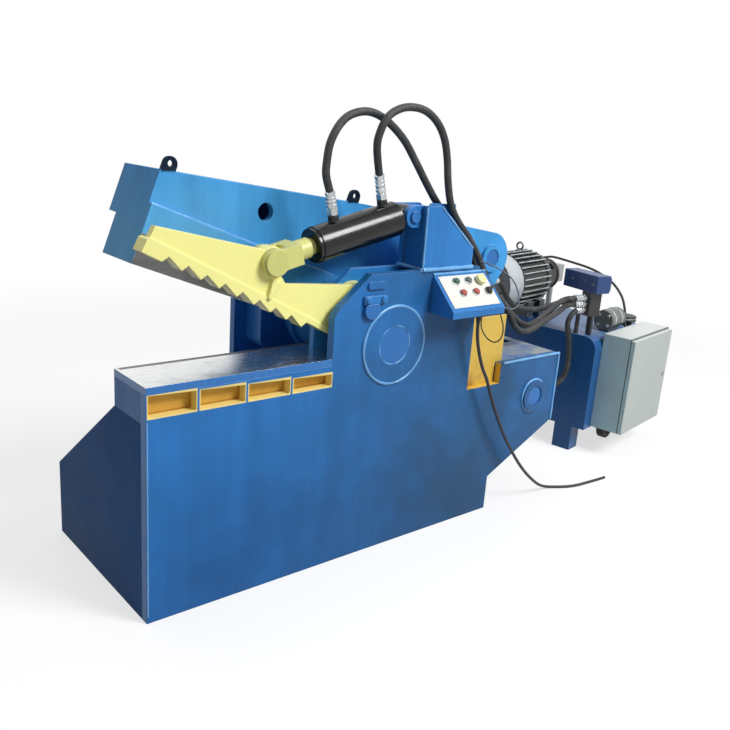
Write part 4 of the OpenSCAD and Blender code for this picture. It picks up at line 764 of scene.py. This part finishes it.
def plastic(name, colour, rough=0.35):
    return enamel(name, colour, colour, clouds=0.06, runs=0.02, scuffs=0.1, dusty=0.15, gloss=rough,
                  edge_paling=0.2, bevel=0.0015, relief=0.0002)


for name, colour in (("green_button", (40, 92, 70)), ("grey_button", (92, 100, 98)),
                     ("mushroom_button", (226, 222, 160)), ("red_button", (168, 74, 66)),
                     ("second_red_button", (168, 74, 66)), ("selector_switch", (22, 23, 26))):
    coated(plastic(name + "_plastic", colour), name)

# ------------------------------------------------------------------ fittings on the hoses
# Plated steel ends: a six-sided swivel nut screwed to the port, and a crimped sleeve on the hose.
# Those on the two cylinders swing with them; those on the manifold stay with the oil unit.
NUT_CORNER, NUT_END = 0.0185, 0.026      # the nut's corners from its middle, and its end from the port
CREST, VALLEY = HOSE / 2 + 0.0040, HOSE / 2 + 0.0024      # the crimped sleeve, on and in its grooves


def reached(route, distance):
    """The point that lies so far along a route."""
    gone = 0.0
    for a, b in zip(route, route[1:]):
        span = (b - a).length
        if gone + span >= distance - 1e-9:
            return a + (b - a) * ((distance - gone) / span)
        gone += span
    return route[-1].copy()


def threaded(name, route, marks):
    """A turned piece on a hose or a cable, from (distance along it, radius, six_sided) marks."""
    return swept(name, [reached(route, far) for far, radius, six in marks],
                 [(radius, six) for far, radius, six in marks], 24)


def fitting(name, route, length, body):
    """A swivel nut of 32 mm across its flats and a sleeve with three grooves, threaded on the hose."""
    sleeve = length - NUT_END
    marks = [(0.0, NUT_CORNER * 0.80, False), (0.002, NUT_CORNER * 0.84, True),
             (0.004, NUT_CORNER * 0.866, True), (0.019, NUT_CORNER * 0.866, True),
             (0.021, NUT_CORNER * 0.84, True), (0.0225, NUT_CORNER * 0.70, False),
             (NUT_END, NUT_CORNER * 0.70, False), (0.0265, CREST, False)]
    for groove in (0.16, 0.40, 0.64):
        first = NUT_END + sleeve * groove
        last = first + sleeve * 0.13
        marks += [(first, CREST, False), (first + 0.0015, VALLEY, False),
                  (last, VALLEY, False), (last + 0.0015, CREST, False)]
    marks += [(length - 0.002, CREST, False), (length, HOSE / 2 + 0.0008, False)]
    made = threaded(name, route, marks)
    for face in made.data.polygons:
        face.use_smooth = False
    return dress(made, plated, body)


plated = steel("plated_fitting", (196, 200, 202), (110, 104, 92), 0.25, 0.24, (40.0, 40.0, 40.0), bevel=0.0008)
for name, hose_of, length, body in (
        ("front_clamp_fitting", "clamp_hose_front", 0.074, "clamp_barrel"),
        ("rear_clamp_fitting", "clamp_hose_rear", 0.082, "clamp_barrel"),
        ("top_cylinder_fitting", "main_hose_top", 0.066, "main_barrel"),
        ("bottom_cylinder_fitting", "main_hose_bottom", 0.046, "main_barrel")):
    fitting(name, curves[hose_of], length, body)
for name, length in (("clamp_hose_front", 0.070), ("clamp_hose_rear", 0.070),
                     ("main_hose_top", 0.052), ("main_hose_bottom", 0.052)):
    fitting(name + "_manifold_fitting", curves[name][::-1], length, "machine")

# ------------------------------------------------------------------ weld beads
# The plates are joined by hand-laid fillet welds, painted over with the rest in a paler blue
# that stands for painted highlights. Each bead is a ripple-rounded string that follows the edge between the two
# plates.


def start_tree(name, inputs, output):
    """An empty geometry tree with named inputs. Returns it with its inputs' sockets."""
    made = bpy.data.node_groups.new(name, "GeometryNodeTree")
    for title, kind, value in inputs:
        socket = made.interface.new_socket(name=title, in_out="INPUT", socket_type="NodeSocket" + kind)
        if value:
            socket.default_value = value
    made.interface.new_socket(name=output, in_out="OUTPUT", socket_type="NodeSocketGeometry")
    return made, made.nodes.new("NodeGroupInput").outputs


def end_tree(tree, grown_shape, finish):
    whole = add(tree, "GeometryNodeRealizeInstances", {"Geometry": grown_shape}).outputs[0]
    finished = add(tree, "GeometryNodeSetMaterial", {"Geometry": whole, "Material": finish}).outputs[0]
    tree.links.new(finished, tree.nodes.new("NodeGroupOutput").inputs[0])


bead_tree, given = start_tree(
    "weld_bead", (("Path", "Geometry", None), ("Step", "Float", 0.004), ("Radius", "Float", 0.004),
                  ("Ripple", "Float", 0.16), ("Paint", "Material", None)), "Bead")
as_curve = add(bead_tree, "GeometryNodeMeshToCurve", {"Mesh": given["Path"]}).outputs[0]
evenly = add(bead_tree, "GeometryNodeResampleCurve", {"Curve": as_curve, "Length": given["Step"]}, mode="LENGTH")
count_of = add(bead_tree, "GeometryNodeInputIndex").outputs[0]
odd = maths(bead_tree, "MODULO", count_of, 2.0)
wave = maths(bead_tree, "SINE", times(bead_tree, count_of, 0.37))
uneven = maths(bead_tree, "MULTIPLY_ADD", wave, 0.5, odd)
ripple = maths(bead_tree, "MULTIPLY_ADD", uneven, given["Ripple"], 1.0)
ring = add(bead_tree, "GeometryNodeCurvePrimitiveCircle", {"Resolution": 8, "Radius": 1.0})
bead = add(bead_tree, "GeometryNodeCurveToMesh",
           {"Curve": evenly.outputs[0], "Profile Curve": ring.outputs[0],
            "Scale": times(bead_tree, ripple, given["Radius"]), "Fill Caps": True})
end_tree(bead_tree, bead.outputs[0], given["Paint"])


def grown(name, start_mesh, tree, values, look, body):
    """Runs a geometry tree on a mesh and keeps the result as a plain mesh."""
    seed = shown(name + "_seed", start_mesh)
    work = seed.modifiers.new("make", "NODES")
    work.node_group = tree
    for item in tree.interface.items_tree:
        if item.item_type == "SOCKET" and item.in_out == "INPUT" and item.name in values:
            work[item.identifier] = values[item.name]
    bpy.context.view_layer.update()
    ready = seed.evaluated_get(bpy.context.evaluated_depsgraph_get())
    mesh = bpy.data.meshes.new_from_object(ready)
    seed.modifiers.remove(work)
    bpy.data.objects.remove(seed)
    mesh.name = name
    return dress(shown(name, mesh), look, body)


# The beads' enamel is a paler copy of the blue: a painted highlight for the light their ripples catch.
lit_weld_blue = enamel("lit_weld_blue", (104, 170, 226), (196, 224, 244), clouds=0.4, scuffs=0.8, gloss=0.2,
                   edge_paling=1.0, bevel=0.003, shine=0.6)


def weld(name, runs, radius, step, ripple, body="machine"):
    """One bead for each run of points. A run that ends where it starts is a closed ring."""
    points, edges = [], []
    for run in runs:
        first = len(points)
        closed = (Vector(run[0]) - Vector(run[-1])).length < 1e-6
        run = run[:-1] if closed else run
        points += [tuple(p) for p in run]
        edges += [(first + i, first + i + 1) for i in range(len(run) - 1)]
        if closed:
            edges.append((len(points) - 1, first))
    path = bpy.data.meshes.new(name + "_path")
    path.from_pydata(points, edges, [])
    return grown(name, path, bead_tree, {"Step": step, "Radius": radius, "Ripple": ripple, "Paint": lit_weld_blue},
                 lit_weld_blue, body)


def ring_run(x, z, radius, y, parts=60):
    return [(x + radius * math.cos(2 * math.pi * i / parts), y, z + radius * math.sin(2 * math.pi * i / parts))
            for i in range(parts + 1)]


FACE = NEAR - 0.0005                # a bead's middle, on the near plates' face
SET_IN = FACE + 0.0012              # and on an edge that lies a little further in
TOWER_FOOT, TOWER_NOSE = 0.981, 0.100
PIVOT_RING, SHAFT_END, PIN_END = 0.1325, 0.0662, 0.0665      # radii of the round beads
for name, runs, radius, step, rippled in (
        ("tower_foot_weld", [[(TOWER_NOSE, FACE, TOWER_FOOT), (0.335, FACE, TOWER_FOOT)],
                             [(TOWER_NOSE, FACE, TOWER_FOOT), (TOWER_NOSE, -0.315, 0.982),
                              (TOWER_NOSE, -0.21, 0.982)]], 0.0065, 0.006, 0.24),
        ("tower_edge_weld", [[(0.1012, SET_IN, 0.986), (0.1012, SET_IN, 1.186)],
                             [(0.168, SET_IN, 1.1862), (0.332, SET_IN, 1.0463)]], 0.0034, 0.005, 0.4),
        ("control_box_weld", [[(0.153, FACE, 0.9635), (0.407, FACE, 0.9635)]], 0.0045, 0.005, 0.32),
        ("pivot_ring_weld", [ring_run(0.0, PIVOT, PIVOT_RING, NEAR - 0.0012)], 0.0046, 0.0055, 0.32),
        ("pivot_shaft_weld", [ring_run(0.0, PIVOT, SHAFT_END, NEAR - 0.0008)], 0.0028, 0.004, 0.4),
        ("rear_pin_weld", [ring_run(*REAR_PIN, PIN_END, NEAR - 0.001)], 0.0042, 0.005, 0.32),
        ("rear_box_weld", [[(0.572, FACE, 0.5975), (0.909, FACE, 0.5975)],
                           [(0.9095, FACE, 0.5955), (0.9095, FACE, 0.314)]], 0.0046, 0.0055, 0.24),
        ("bed_corner_weld", [[(-0.8764, FACE + 0.0010, 0.02), (-0.8764, FACE + 0.0010, 0.62)]],
         0.0026, 0.005, 0.16)):
    weld(name, runs, radius, step, rippled)


def opened(x, y, z):
    """A point of the closed jaw, measured from its shaft, where it stands at rest."""
    at_x, at_z = turned(x, z, JAW_OPEN)
    return at_x, y, at_z + PIVOT


weld("jaw_strip_weld", [[opened(x, -0.1155, 0.150) for x in (-0.866, -0.6, -0.35, -0.165)]],
     0.0052, 0.006, 0.26, "jaw")

# ------------------------------------------------------------------ screws and bolts
# Shop-bought fasteners: six-sided heads on the keeper plate and the motor's feet, socket heads in
# the valves and the blades, round screws on the panel. One tree puts a head at each place.
screw_tree, given = start_tree(
    "row_of_screws", (("Places", "Geometry", None), ("Screw", "Object", None), ("Size", "Float", None),
                      ("Finish", "Material", None)), "Screws")
one = add(screw_tree, "GeometryNodeObjectInfo", {"Object": given["Screw"]}).outputs["Geometry"]
lies = add(screw_tree, "GeometryNodeInputNamedAttribute", {"Name": "axis"}, data_type="FLOAT_VECTOR")
aimed = add(screw_tree, "FunctionNodeAlignRotationToVector", {"Vector": lies.outputs[0]}, axis="Z")
row = add(screw_tree, "GeometryNodeInstanceOnPoints",
          {"Points": given["Places"], "Instance": one, "Rotation": aimed.outputs[0], "Scale": given["Size"]})
end_tree(screw_tree, row.outputs[0], given["Finish"])


def spun(profile, at=Matrix.Identity(4), sides=32, six=()):
    """A turned piece: (radius, height) points up its axis. The steps listed in six are six-sided."""
    points, faces, rings = [], [], []
    for n, (radius, height) in enumerate(profile):
        if radius < 1e-6:
            rings.append([len(points)])
            points.append(at @ Vector((0, 0, height)))
            continue
        rings.append(list(range(len(points), len(points) + sides)))
        for k in range(sides):
            a = 2 * math.pi * k / sides
            reach = edge_at(radius, a, n in six)
            points.append(at @ Vector((reach * math.cos(a), reach * math.sin(a), height)))
    for low, high in zip(rings, rings[1:]):
        for k in range(sides):
            a, b = low[k % len(low)], low[(k + 1) % len(low)]
            c, d = high[(k + 1) % len(high)], high[k % len(high)]
            faces.append(tuple(dict.fromkeys((a, b, c, d))))
    for ring_of in (rings[0], rings[-1]):
        if len(ring_of) > 1:
            faces.append(tuple(ring_of))
    return points, faces


def block(low, high, at=Matrix.Identity(4), edge=0.0015):
    """A box with its edges broken."""
    shape = bmesh.new()
    bmesh.ops.create_cube(shape, size=1.0)
    low, high = Vector(low), Vector(high)
    for v in shape.verts:
        v.co = Vector([low[i] + (high[i] - low[i]) * (v.co[i] + 0.5) for i in range(3)])
    bmesh.ops.bevel(shape, geom=list(shape.edges), offset=edge, segments=2, affect="EDGES", profile=0.5)
    shape.verts.index_update()
    made = ([at @ v.co for v in shape.verts], [tuple(v.index for v in f.verts) for f in shape.faces])
    shape.free()
    return made


def joined(name, parts):
    """One mesh from closed shapes, with its faces turned outwards."""
    points, faces = [], []
    for some_points, some_faces in parts:
        start = len(points)
        points += [tuple(p) for p in some_points]
        faces += [tuple(i + start for i in face) for face in some_faces]
    mesh = bpy.data.meshes.new(name)
    mesh.from_pydata(points, [], faces)
    shape = bmesh.new()
    shape.from_mesh(mesh)
    bmesh.ops.recalc_face_normals(shape, faces=list(shape.faces))
    shape.to_mesh(mesh)
    shape.free()
    for face in mesh.polygons:
        face.use_smooth = True
    mesh.set_sharp_from_angle(angle=math.radians(35))
    return shown(name, mesh)


def screws(name, head, places, size, look, body="machine"):
    """Heads at each (place, direction that the head faces)."""
    dots = bpy.data.meshes.new(name + "_places")
    dots.from_pydata([tuple(stands) for stands, way in places], [], [])
    lie_in = dots.attributes.new("axis", "FLOAT_VECTOR", "POINT")
    for i, (stands, way) in enumerate(places):
        lie_in.data[i].vector = tuple(way)
    return grown(name, dots, screw_tree, {"Screw": head, "Size": size, "Finish": look}, look, body)


# Heads for a thread of 1, which the tree scales: across flats 1.6, as on the real ones.
hex_head = joined("hex_head", [spun([(0.80, 0.0), (0.80, 0.0), (0.80, 0.55), (0.70, 0.64), (0.0, 0.64)],
                                    six=(0, 1, 2)),
                               spun([(0.0, -0.02), (1.0, -0.02), (1.0, 0.10), (0.97, 0.13), (0.0, 0.13)])])
socket_head = joined("socket_head", [spun([(0.0, -0.05), (0.78, -0.05), (0.78, 0.86), (0.70, 0.95), (0.47, 0.95),
                                           (0.43, 0.90), (0.43, 0.45), (0.0, 0.40)], six=(5, 6))])
pan_head = joined("pan_head", [spun([(0.0, -0.1), (0.90, -0.1), (0.90, 0.10), (0.78, 0.34), (0.50, 0.46),
                                     (0.0, 0.50)])])
OUT = (0, -1, 0)                    # towards the operator
screws("keeper_bolts", hex_head, [((x, NEAR - 0.010, 0.899), OUT) for x in (-0.132, -0.068)], 0.0125,
       blue_paint)
PANEL = move(0.153, NEAR, BOX_TOP) @ Matrix.Rotation(math.atan2(BOX_DROP, BOX_DEEP), 4, "X")
panel_out = PANEL.to_3x3() @ Vector((0, 0, 1))
slope = math.hypot(BOX_DEEP, BOX_DROP)
screws("panel_screws", pan_head,
       [(PANEL @ Vector((x, -down, 0.002)), panel_out) for x in (0.021, 0.233) for down in (0.020, slope - 0.021)],
       0.0045, plated)
valve_left = -(VALVES.to_3x3() @ Vector((1, 0, 0)))
VALVE_FOOT = 202                    # mm above the tank's top
screws("valve_screws", socket_head,
       [(on_unit(7.5, y, VALVE_FOOT + up_by, VALVES), valve_left) for y, up_by in ((26, 42), (80, 50), (160, 44))],
       0.0068, bolt_steel)
screws("motor_foot_bolts", hex_head,
       [(UNIT @ Vector((x, SHAFT_IN + side * 0.103, MOTOR - 0.090)), (0, 0, 1))
        for x in (0.035, 0.143) for side in (-1, 1)], 0.011, bolt_steel)
BELL_RING = 0.102                   # the bolts' distance from the motor's shaft
screws("bell_bolts", hex_head,
       [(UNIT @ Vector((0.229, SHAFT_IN + BELL_RING * math.cos(math.radians(a)),
                        MOTOR + BELL_RING * math.sin(math.radians(a)))), along_unit)
        for a in [22.5 + 45 * k for k in range(8)]], 0.010, bolt_steel)

# ------------------------------------------------------------------ control panel fittings
# Turned silver bezels hold the buttons in the sheet. The mushroom's is lower, for its travel.


def hoop(profile, at, sides=32):
    """A turned ring: its section is a closed loop of (radius, height) points."""
    points = [at @ Vector((r * math.cos(2 * math.pi * k / sides), r * math.sin(2 * math.pi * k / sides), h))
              for r, h in profile for k in range(sides)]
    count = len(profile)
    faces = [(i * sides + k, i * sides + (k + 1) % sides, (i + 1) % count * sides + (k + 1) % sides,
              (i + 1) % count * sides + k) for i in range(count) for k in range(sides)]
    return points, faces


BUTTON_TALL = [(0.0122, 0.002), (0.0150, 0.002), (0.0150, 0.0048), (0.0142, 0.0062), (0.0130, 0.0064),
               (0.0122, 0.0056)]
BUTTON_LOW = [(0.0122, 0.002), (0.0150, 0.002), (0.0150, 0.0030), (0.0144, 0.0036), (0.0128, 0.0036),
              (0.0122, 0.0032)]
BUTTON_WIDE = [(0.0139, 0.002), (0.0168, 0.002), (0.0168, 0.0044), (0.0160, 0.0056), (0.0146, 0.0056),
               (0.0139, 0.0050)]
bezels = [hoop(shape, PANEL @ move(x, -down, 0))
          for x, down, shape in ((0.082, 0.036, BUTTON_TALL), (0.142, 0.036, BUTTON_TALL),
                                 (0.197, 0.040, BUTTON_LOW), (0.087, 0.084, BUTTON_TALL),
                                 (0.150, 0.084, BUTTON_TALL), (0.214, 0.084, BUTTON_WIDE))]
dress(joined("button_bezels", bezels), plated, "machine")

# The cable leaves the box through a gland with a tapered, ribbed sleeve; a nut clamps it.
gland_marks = [(0.0, 0.0125, True), (0.009, 0.0125, True), (0.0095, 0.0105, False)]
for i in range(7):
    taper = 0.0105 - 0.00055 * i
    rib = 0.011 + 0.0046 * i
    gland_marks += [(rib, taper, False), (rib + 0.0026, taper - 0.0002, False),
                    (rib + 0.0030, taper - 0.0013, False), (rib + 0.0042, taper - 0.0013, False)]
gland_marks += [(0.0440, 0.0070, False), (0.0450, 0.0063, False)]
black_plastic = enamel("black_plastic", (26, 27, 29), (70, 72, 74), clouds=0.06, runs=0.02,
                       scuffs=0.1, gloss=0.42, bevel=0.0008, relief=0.0003)
dress(threaded("cable_gland", cable_route, gland_marks), black_plastic, "machine")

# ------------------------------------------------------------------ thin control wires
# Two thin sheathed wires, held at both ends: one runs from the tower to the control box, and one
# loops out of the box's foot.
WIRE = 0.0048
TOWER_WIRE = [(380, -332, 997), (396, -356, 992), (425, -379, 978), (462, -404, 952), (484, -419, 921),
              (492, -433, 881), (484, -440, 852), (455, -439, 841), (424, -435, 848), (408, -432, 853)]
LOOP_WIRE = [(397, -352, 831), (397, -353, 800), (398, -355, 766), (400, -368, 743), (405, -389, 724),
             (413, -412, 718), (419, -430, 731), (421, -438, 755), (416, -440, 785), (403, -438, 816),
             (398, -436, 831)]
wire_sheath = rubber("wire_sheath", (30, 34, 40), (70, 76, 84), 40)
# The tower wire's sheath is a paler copy of the black one: a painted sheen.
sheened_sheath = rubber("sheened_wire_sheath", (84, 100, 116), (150, 164, 178), 40)
for name, points, look in (("limit_switch_wire", TOWER_WIRE, sheened_sheath),
                           ("panel_loop_wire", LOOP_WIRE, wire_sheath)):
    thin_route = smooth([Vector(q) / 1000 for q in points], 8)
    thin = swept(name, thin_route, WIRE / 2, 10)
    dress(thin, look, "machine")

# ------------------------------------------------------------------ anvil window backs
# Golden sheet behind the four windows of the anvil, tacked in from inside.


def back_top(x):
    """The sheet's top follows the bed's fall towards the housing."""
    return min(0.702, 0.696 - (x + 0.880) * 27 / 644) - 0.001


backs = []
for i in range(WINDOWS):
    start, end = FIRST_START + WINDOW_STEP * i, FIRST_END + WINDOW_STEP * i
    outline = [(start + 0.001, 0.633), (end - 0.001, 0.633), (end - 0.001, back_top(end)),
               (start + 0.001, back_top(start))]
    backs.append(([Vector((x, y, z)) for y in (-0.2985, -0.2965) for x, z in outline],
                  [(0, 1, 2, 3), (7, 6, 5, 4)] + [(k, k + 4, (k + 1) % 4 + 4, (k + 1) % 4) for k in range(4)]))
dress(joined("window_backs", backs), gold_window, "machine")

# ------------------------------------------------------------------ blade screws
# Each blade is held by five countersunk socket screws through its middle.
blade_screw = joined("blade_screw", [spun([(0.0, -2.4), (0.46, -2.4), (0.5, -2.36), (0.5, 0.0), (0.8, 0.0),
                                           (0.8, 0.44), (0.75, 0.5), (0.47, 0.5), (0.45, 0.47), (0.45, 0.20),
                                           (0.0, 0.14)], six=(8, 9))])
screw_row = [-0.800 + 0.140 * i for i in range(5)]
for name, node, places, body in (
        ("lower_blade_screws", "lower_blade_bolts", [((x, -0.1450, 0.665), (0, 1, 0)) for x in screw_row], "machine"),
        ("upper_blade_screws", "upper_blade_bolts", [(opened(x, -0.1206, 0.027), OUT) for x in screw_row], "jaw")):
    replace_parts(screws(name, blade_screw, places, 0.020, bolt_steel, body), node)

# ------------------------------------------------------------------ motor fittings
# Lifting ring on the motor's back, screwed lid on the terminal box, and the pressed cowl's rim.
eye_foot = UNIT @ Vector((0.077, SHAFT_IN, 0.868))
eye_ring = [eye_foot + Vector((0, 0, 0.046)) + 0.0165 * (math.cos(2 * math.pi * k / 28) * across_unit
            + Vector((0, 0, math.sin(2 * math.pi * k / 28)))) for k in range(28)]
lifting_ring = swept("motor_lifting_ring", eye_ring, 0.0048, 12, closed=True)
dress(lifting_ring, bolt_steel, "machine")
dress(joined("lifting_ring_foot", [spun([(0.0, 0.0), (0.014, 0.0), (0.014, 0.018), (0.019, 0.020), (0.019, 0.026),
                                         (0.012, 0.029), (0.007, 0.033), (0.0, 0.033)], move(*eye_foot))]),
      bolt_steel, "machine")


def cowl_face_shade(tree, colour):
    """The pierced face, darkened with painted shade."""
    return mixed(tree, colour, (76, 86, 94), looking(tree, -along_unit, 0.6, 0.95, 0.85))


cowl_paint = enamel("cowl_paint", (188, 194, 198), (232, 236, 238), dust=(170, 168, 162), scuffs=0.2,
                    gloss=0.14, edge_paling=0.9, bevel=0.002, marks=cowl_face_shade)
coated(cowl_paint, "fan_cowl")
cowl_rim = hoop([(0.1345, -0.098), (0.1378, -0.098), (0.1395, -0.096), (0.1395, -0.086), (0.1378, -0.0835),
                 (0.1345, -0.0835)], UNIT @ move(0, SHAFT_IN, MOTOR) @ turn(90, "Y"), 64)
dress(joined("cowl_rim", [cowl_rim]), cowl_paint, "machine")
lid = block((0.073, 0.7035, 0.703), (0.177, 0.7085, 0.799), UNIT, 0.002)
lid_band = block((0.070, 0.690, 0.700), (0.180, 0.7035, 0.802), UNIT, 0.003)
dress(joined("terminal_box_lid", [lid, lid_band]), black_iron, "machine")
screws("terminal_box_screws", pan_head,
       [(UNIT @ Vector((x, 0.7085, z)), across_unit) for x in (0.082, 0.168) for z in (0.712, 0.790)],
       0.0045, plated)

# ------------------------------------------------------------------ tank fittings
# Filler and breather cap on its collar, with a plated band under its lid, and two straps and
# four end bolts on the return filter.
CAP = UNIT @ move(0.430, 0.060, TANK_TOP)
COLLAR = [(0.0, 0.0005), (0.034, 0.0005), (0.034, 0.008), (0.027, 0.010), (0.027, 0.018), (0.0, 0.018)]
DISH = [(0.0, 0.018), (0.050, 0.018), (0.0525, 0.020), (0.0525, 0.026), (0.050, 0.028), (0.0, 0.028)]
LID = [(0.0, 0.034), (0.050, 0.034), (0.0525, 0.036), (0.0525, 0.040), (0.047, 0.045), (0.020, 0.048),
       (0.0, 0.0485)]
dress(joined("breather_cap", [spun(shape, CAP) for shape in (COLLAR, DISH, LID)]), black_plastic,
      "machine")
dress(joined("breather_band", [spun([(0.0, 0.028), (0.046, 0.028), (0.046, 0.034), (0.0, 0.034)], CAP)]),
      plated, "machine")
FILTER = UNIT @ move(0.171, 0.060, TANK_TOP + 0.052) @ turn(90, "Y")
straps = [hoop([(0.0478, h), (0.0498, h), (0.0498, h + 0.014), (0.0478, h + 0.014)], FILTER, 48)
          for h in (0.030, 0.100)]
dress(joined("filter_straps", straps), plated, "machine")
screws("filter_screws", hex_head,
       [(FILTER @ Vector((0.034 * math.cos(a), 0.034 * math.sin(a), 0.0)), -along_unit)
        for a in [math.radians(45 + 90 * k) for k in range(4)]], 0.0075, plated)

# ------------------------------------------------------------------ unit wheels
# Rubber-tyred iron wheels on a through axle: a crowned tread with grooves and a dished hub.
HALF_TREAD = [(0.0, 0.004), (0.020, 0.004), (0.024, 0.008), (0.030, 0.010), (0.036, 0.006), (0.040, 0.002),
              (0.052, 0.000), (0.0555, 0.003), (0.056, 0.010), (0.0545, 0.011), (0.0545, 0.013),
              (0.056, 0.014), (0.056, 0.020)]
WHEEL_WIDE = 0.040
tread = HALF_TREAD + [(r, WHEEL_WIDE - h) for r, h in HALF_TREAD[::-1][1:]]
AXIS = UNIT @ move(0.315, 0, 0.056) @ turn(-90, "X")
wheels = joined("tyred_wheels", [spun(tread, AXIS @ move(0, 0, y), 48) for y in (0.010, 0.630)])
dress(wheels, tyre, "wheels")
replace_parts(wheels, "unit_wheels")
AXLE = [(0.0, 0.008), (0.011, 0.008), (0.0125, 0.010), (0.0125, 0.670), (0.011, 0.672), (0.0, 0.672)]
dress(joined("wheel_axle", [spun(AXLE, AXIS)]), plain_steel, "wheels")

# ------------------------------------------------------------------ inside the cabinet
# A plated back sheet with rails, a breaker, contactors, an overload relay and a row of
# terminals, wired through slotted trunking. It shows when the door is open.
CABINET = UNIT @ move(0.070, 0, 0.125)
SHEET, RAIL = -0.0145, -0.022       # the faces of the back sheet and of its rails
sheet_parts = [block((0.030, SHEET, 0.035), (0.406, -0.0125, 0.420), CABINET, 0.0006)]
sheet_parts += [spun([(0.0, 0.0), (0.006, 0.0), (0.006, 0.0105), (0.0, 0.0105)],
                     CABINET @ move(x, -0.002, z) @ turn(90, "X"), 12)
                for x in (0.045, 0.391) for z in (0.050, 0.405)]
galvanised = steel("galvanised_sheet", (184, 186, 188), (150, 152, 152), 0.5, 0.38, (30.0, 30.0, 30.0),
                   0.85, bevel=0.0006)
dress(joined("back_sheet", sheet_parts), galvanised, "machine")
rails = [block((0.070, RAIL, z - 0.0175), (0.366, SHEET, z + 0.0175), CABINET, 0.001)
         for z in (0.345, 0.235, 0.115)]
dress(joined("din_rails", rails), plated, "machine")
white_plastic = enamel("white_plastic", (214, 214, 208), (240, 240, 236), clouds=0.05, runs=0.0,
                       scuffs=0.1, gloss=0.42, bevel=0.0008, relief=0.0002)
grey_plastic = enamel("grey_plastic", (126, 132, 136), (180, 184, 188), clouds=0.05, runs=0.0,
                      scuffs=0.1, gloss=0.45, bevel=0.0008, relief=0.0002)
white_parts = [block((0.085, -0.072, 0.300), (0.139, RAIL, 0.390), CABINET, 0.002),
               block((0.085, -0.088, 0.322), (0.139, -0.072, 0.368), CABINET, 0.002)]
white_parts += [block((x, -0.094, 0.340), (x + 0.008, -0.086, 0.356), CABINET, 0.001)
                for x in (0.090, 0.108, 0.126)]
for x in (0.170, 0.222, 0.274):
    white_parts += [block((x, -0.078, 0.198), (x + 0.045, RAIL, 0.276), CABINET, 0.002),
                    block((x + 0.004, -0.098, 0.212), (x + 0.041, -0.078, 0.262), CABINET, 0.002)]
dress(joined("breaker_and_contactors", white_parts), white_plastic, "machine")
dark_parts = [block((0.170, -0.080, 0.150), (0.215, -0.030, 0.197), CABINET, 0.002)]
dark_parts += [block((x, -0.070, 0.300), (x + 0.032, RAIL, 0.386), CABINET, 0.002) for x in (0.330, 0.290)]
dark_parts += [spun([(0.0, 0.0), (0.004, 0.0), (0.004, 0.003), (0.0, 0.003)],
                    CABINET @ move(x + 0.003, -0.080, 0.160) @ turn(90, "X"), 16) for x in (0.176, 0.187, 0.198)]
dress(joined("relays", dark_parts), black_plastic, "machine")
trunking = [block((0.060, -0.060, z), (0.376, SHEET, z + 0.014), CABINET, 0.001) for z in (0.282, 0.405, 0.028)]
dress(joined("trunking", trunking), grey_plastic, "machine")
terminal = joined("terminal_head", [block((-0.0026, -0.021, 0.0), (0.0026, 0.021, 0.036), edge=0.0008)])
terminals = [(CABINET @ Vector((0.090 + 0.0062 * i, RAIL, 0.115)), -across_unit) for i in range(40)]
screws("terminal_row", terminal, terminals, 1.0, grey_plastic)
draw = random.Random(7)
for colour_name, colour in (("black", (24, 25, 28)), ("blue", (30, 60, 130)), ("red", (150, 34, 30))):
    look = plastic("wire_" + colour_name, colour, 0.45)
    runs = []
    for k in range(9):
        x = 0.095 + 0.027 * k + draw.uniform(-0.006, 0.006) + 0.004 * k
        foot = CABINET @ Vector((x, -0.045, 0.133))
        top = CABINET @ Vector((x + draw.uniform(-0.01, 0.03), -0.045, 0.286))
        if 0.160 < x < 0.325:       # under the relay and the contactors
            top = CABINET @ Vector((x, -0.050, 0.146 if x < 0.22 else 0.197))
        middle_of = (foot + top) / 2 - across_unit * draw.uniform(0.006, 0.022)
        run = smooth([foot, foot.lerp(middle_of, 0.6), middle_of, middle_of.lerp(top, 0.5), top], 4)
        runs.append(swept("wire", run, 0.0013, 6))
    with bpy.context.temp_override(active_object=runs[0], selected_editable_objects=runs):
        bpy.ops.object.join()
    runs[0].name = runs[0].data.name = "cabinet_wires_" + colour_name
    dress(runs[0], look, "machine")
for spare in (hex_head, socket_head, pan_head, blade_screw, terminal):
    bpy.data.objects.remove(spare)
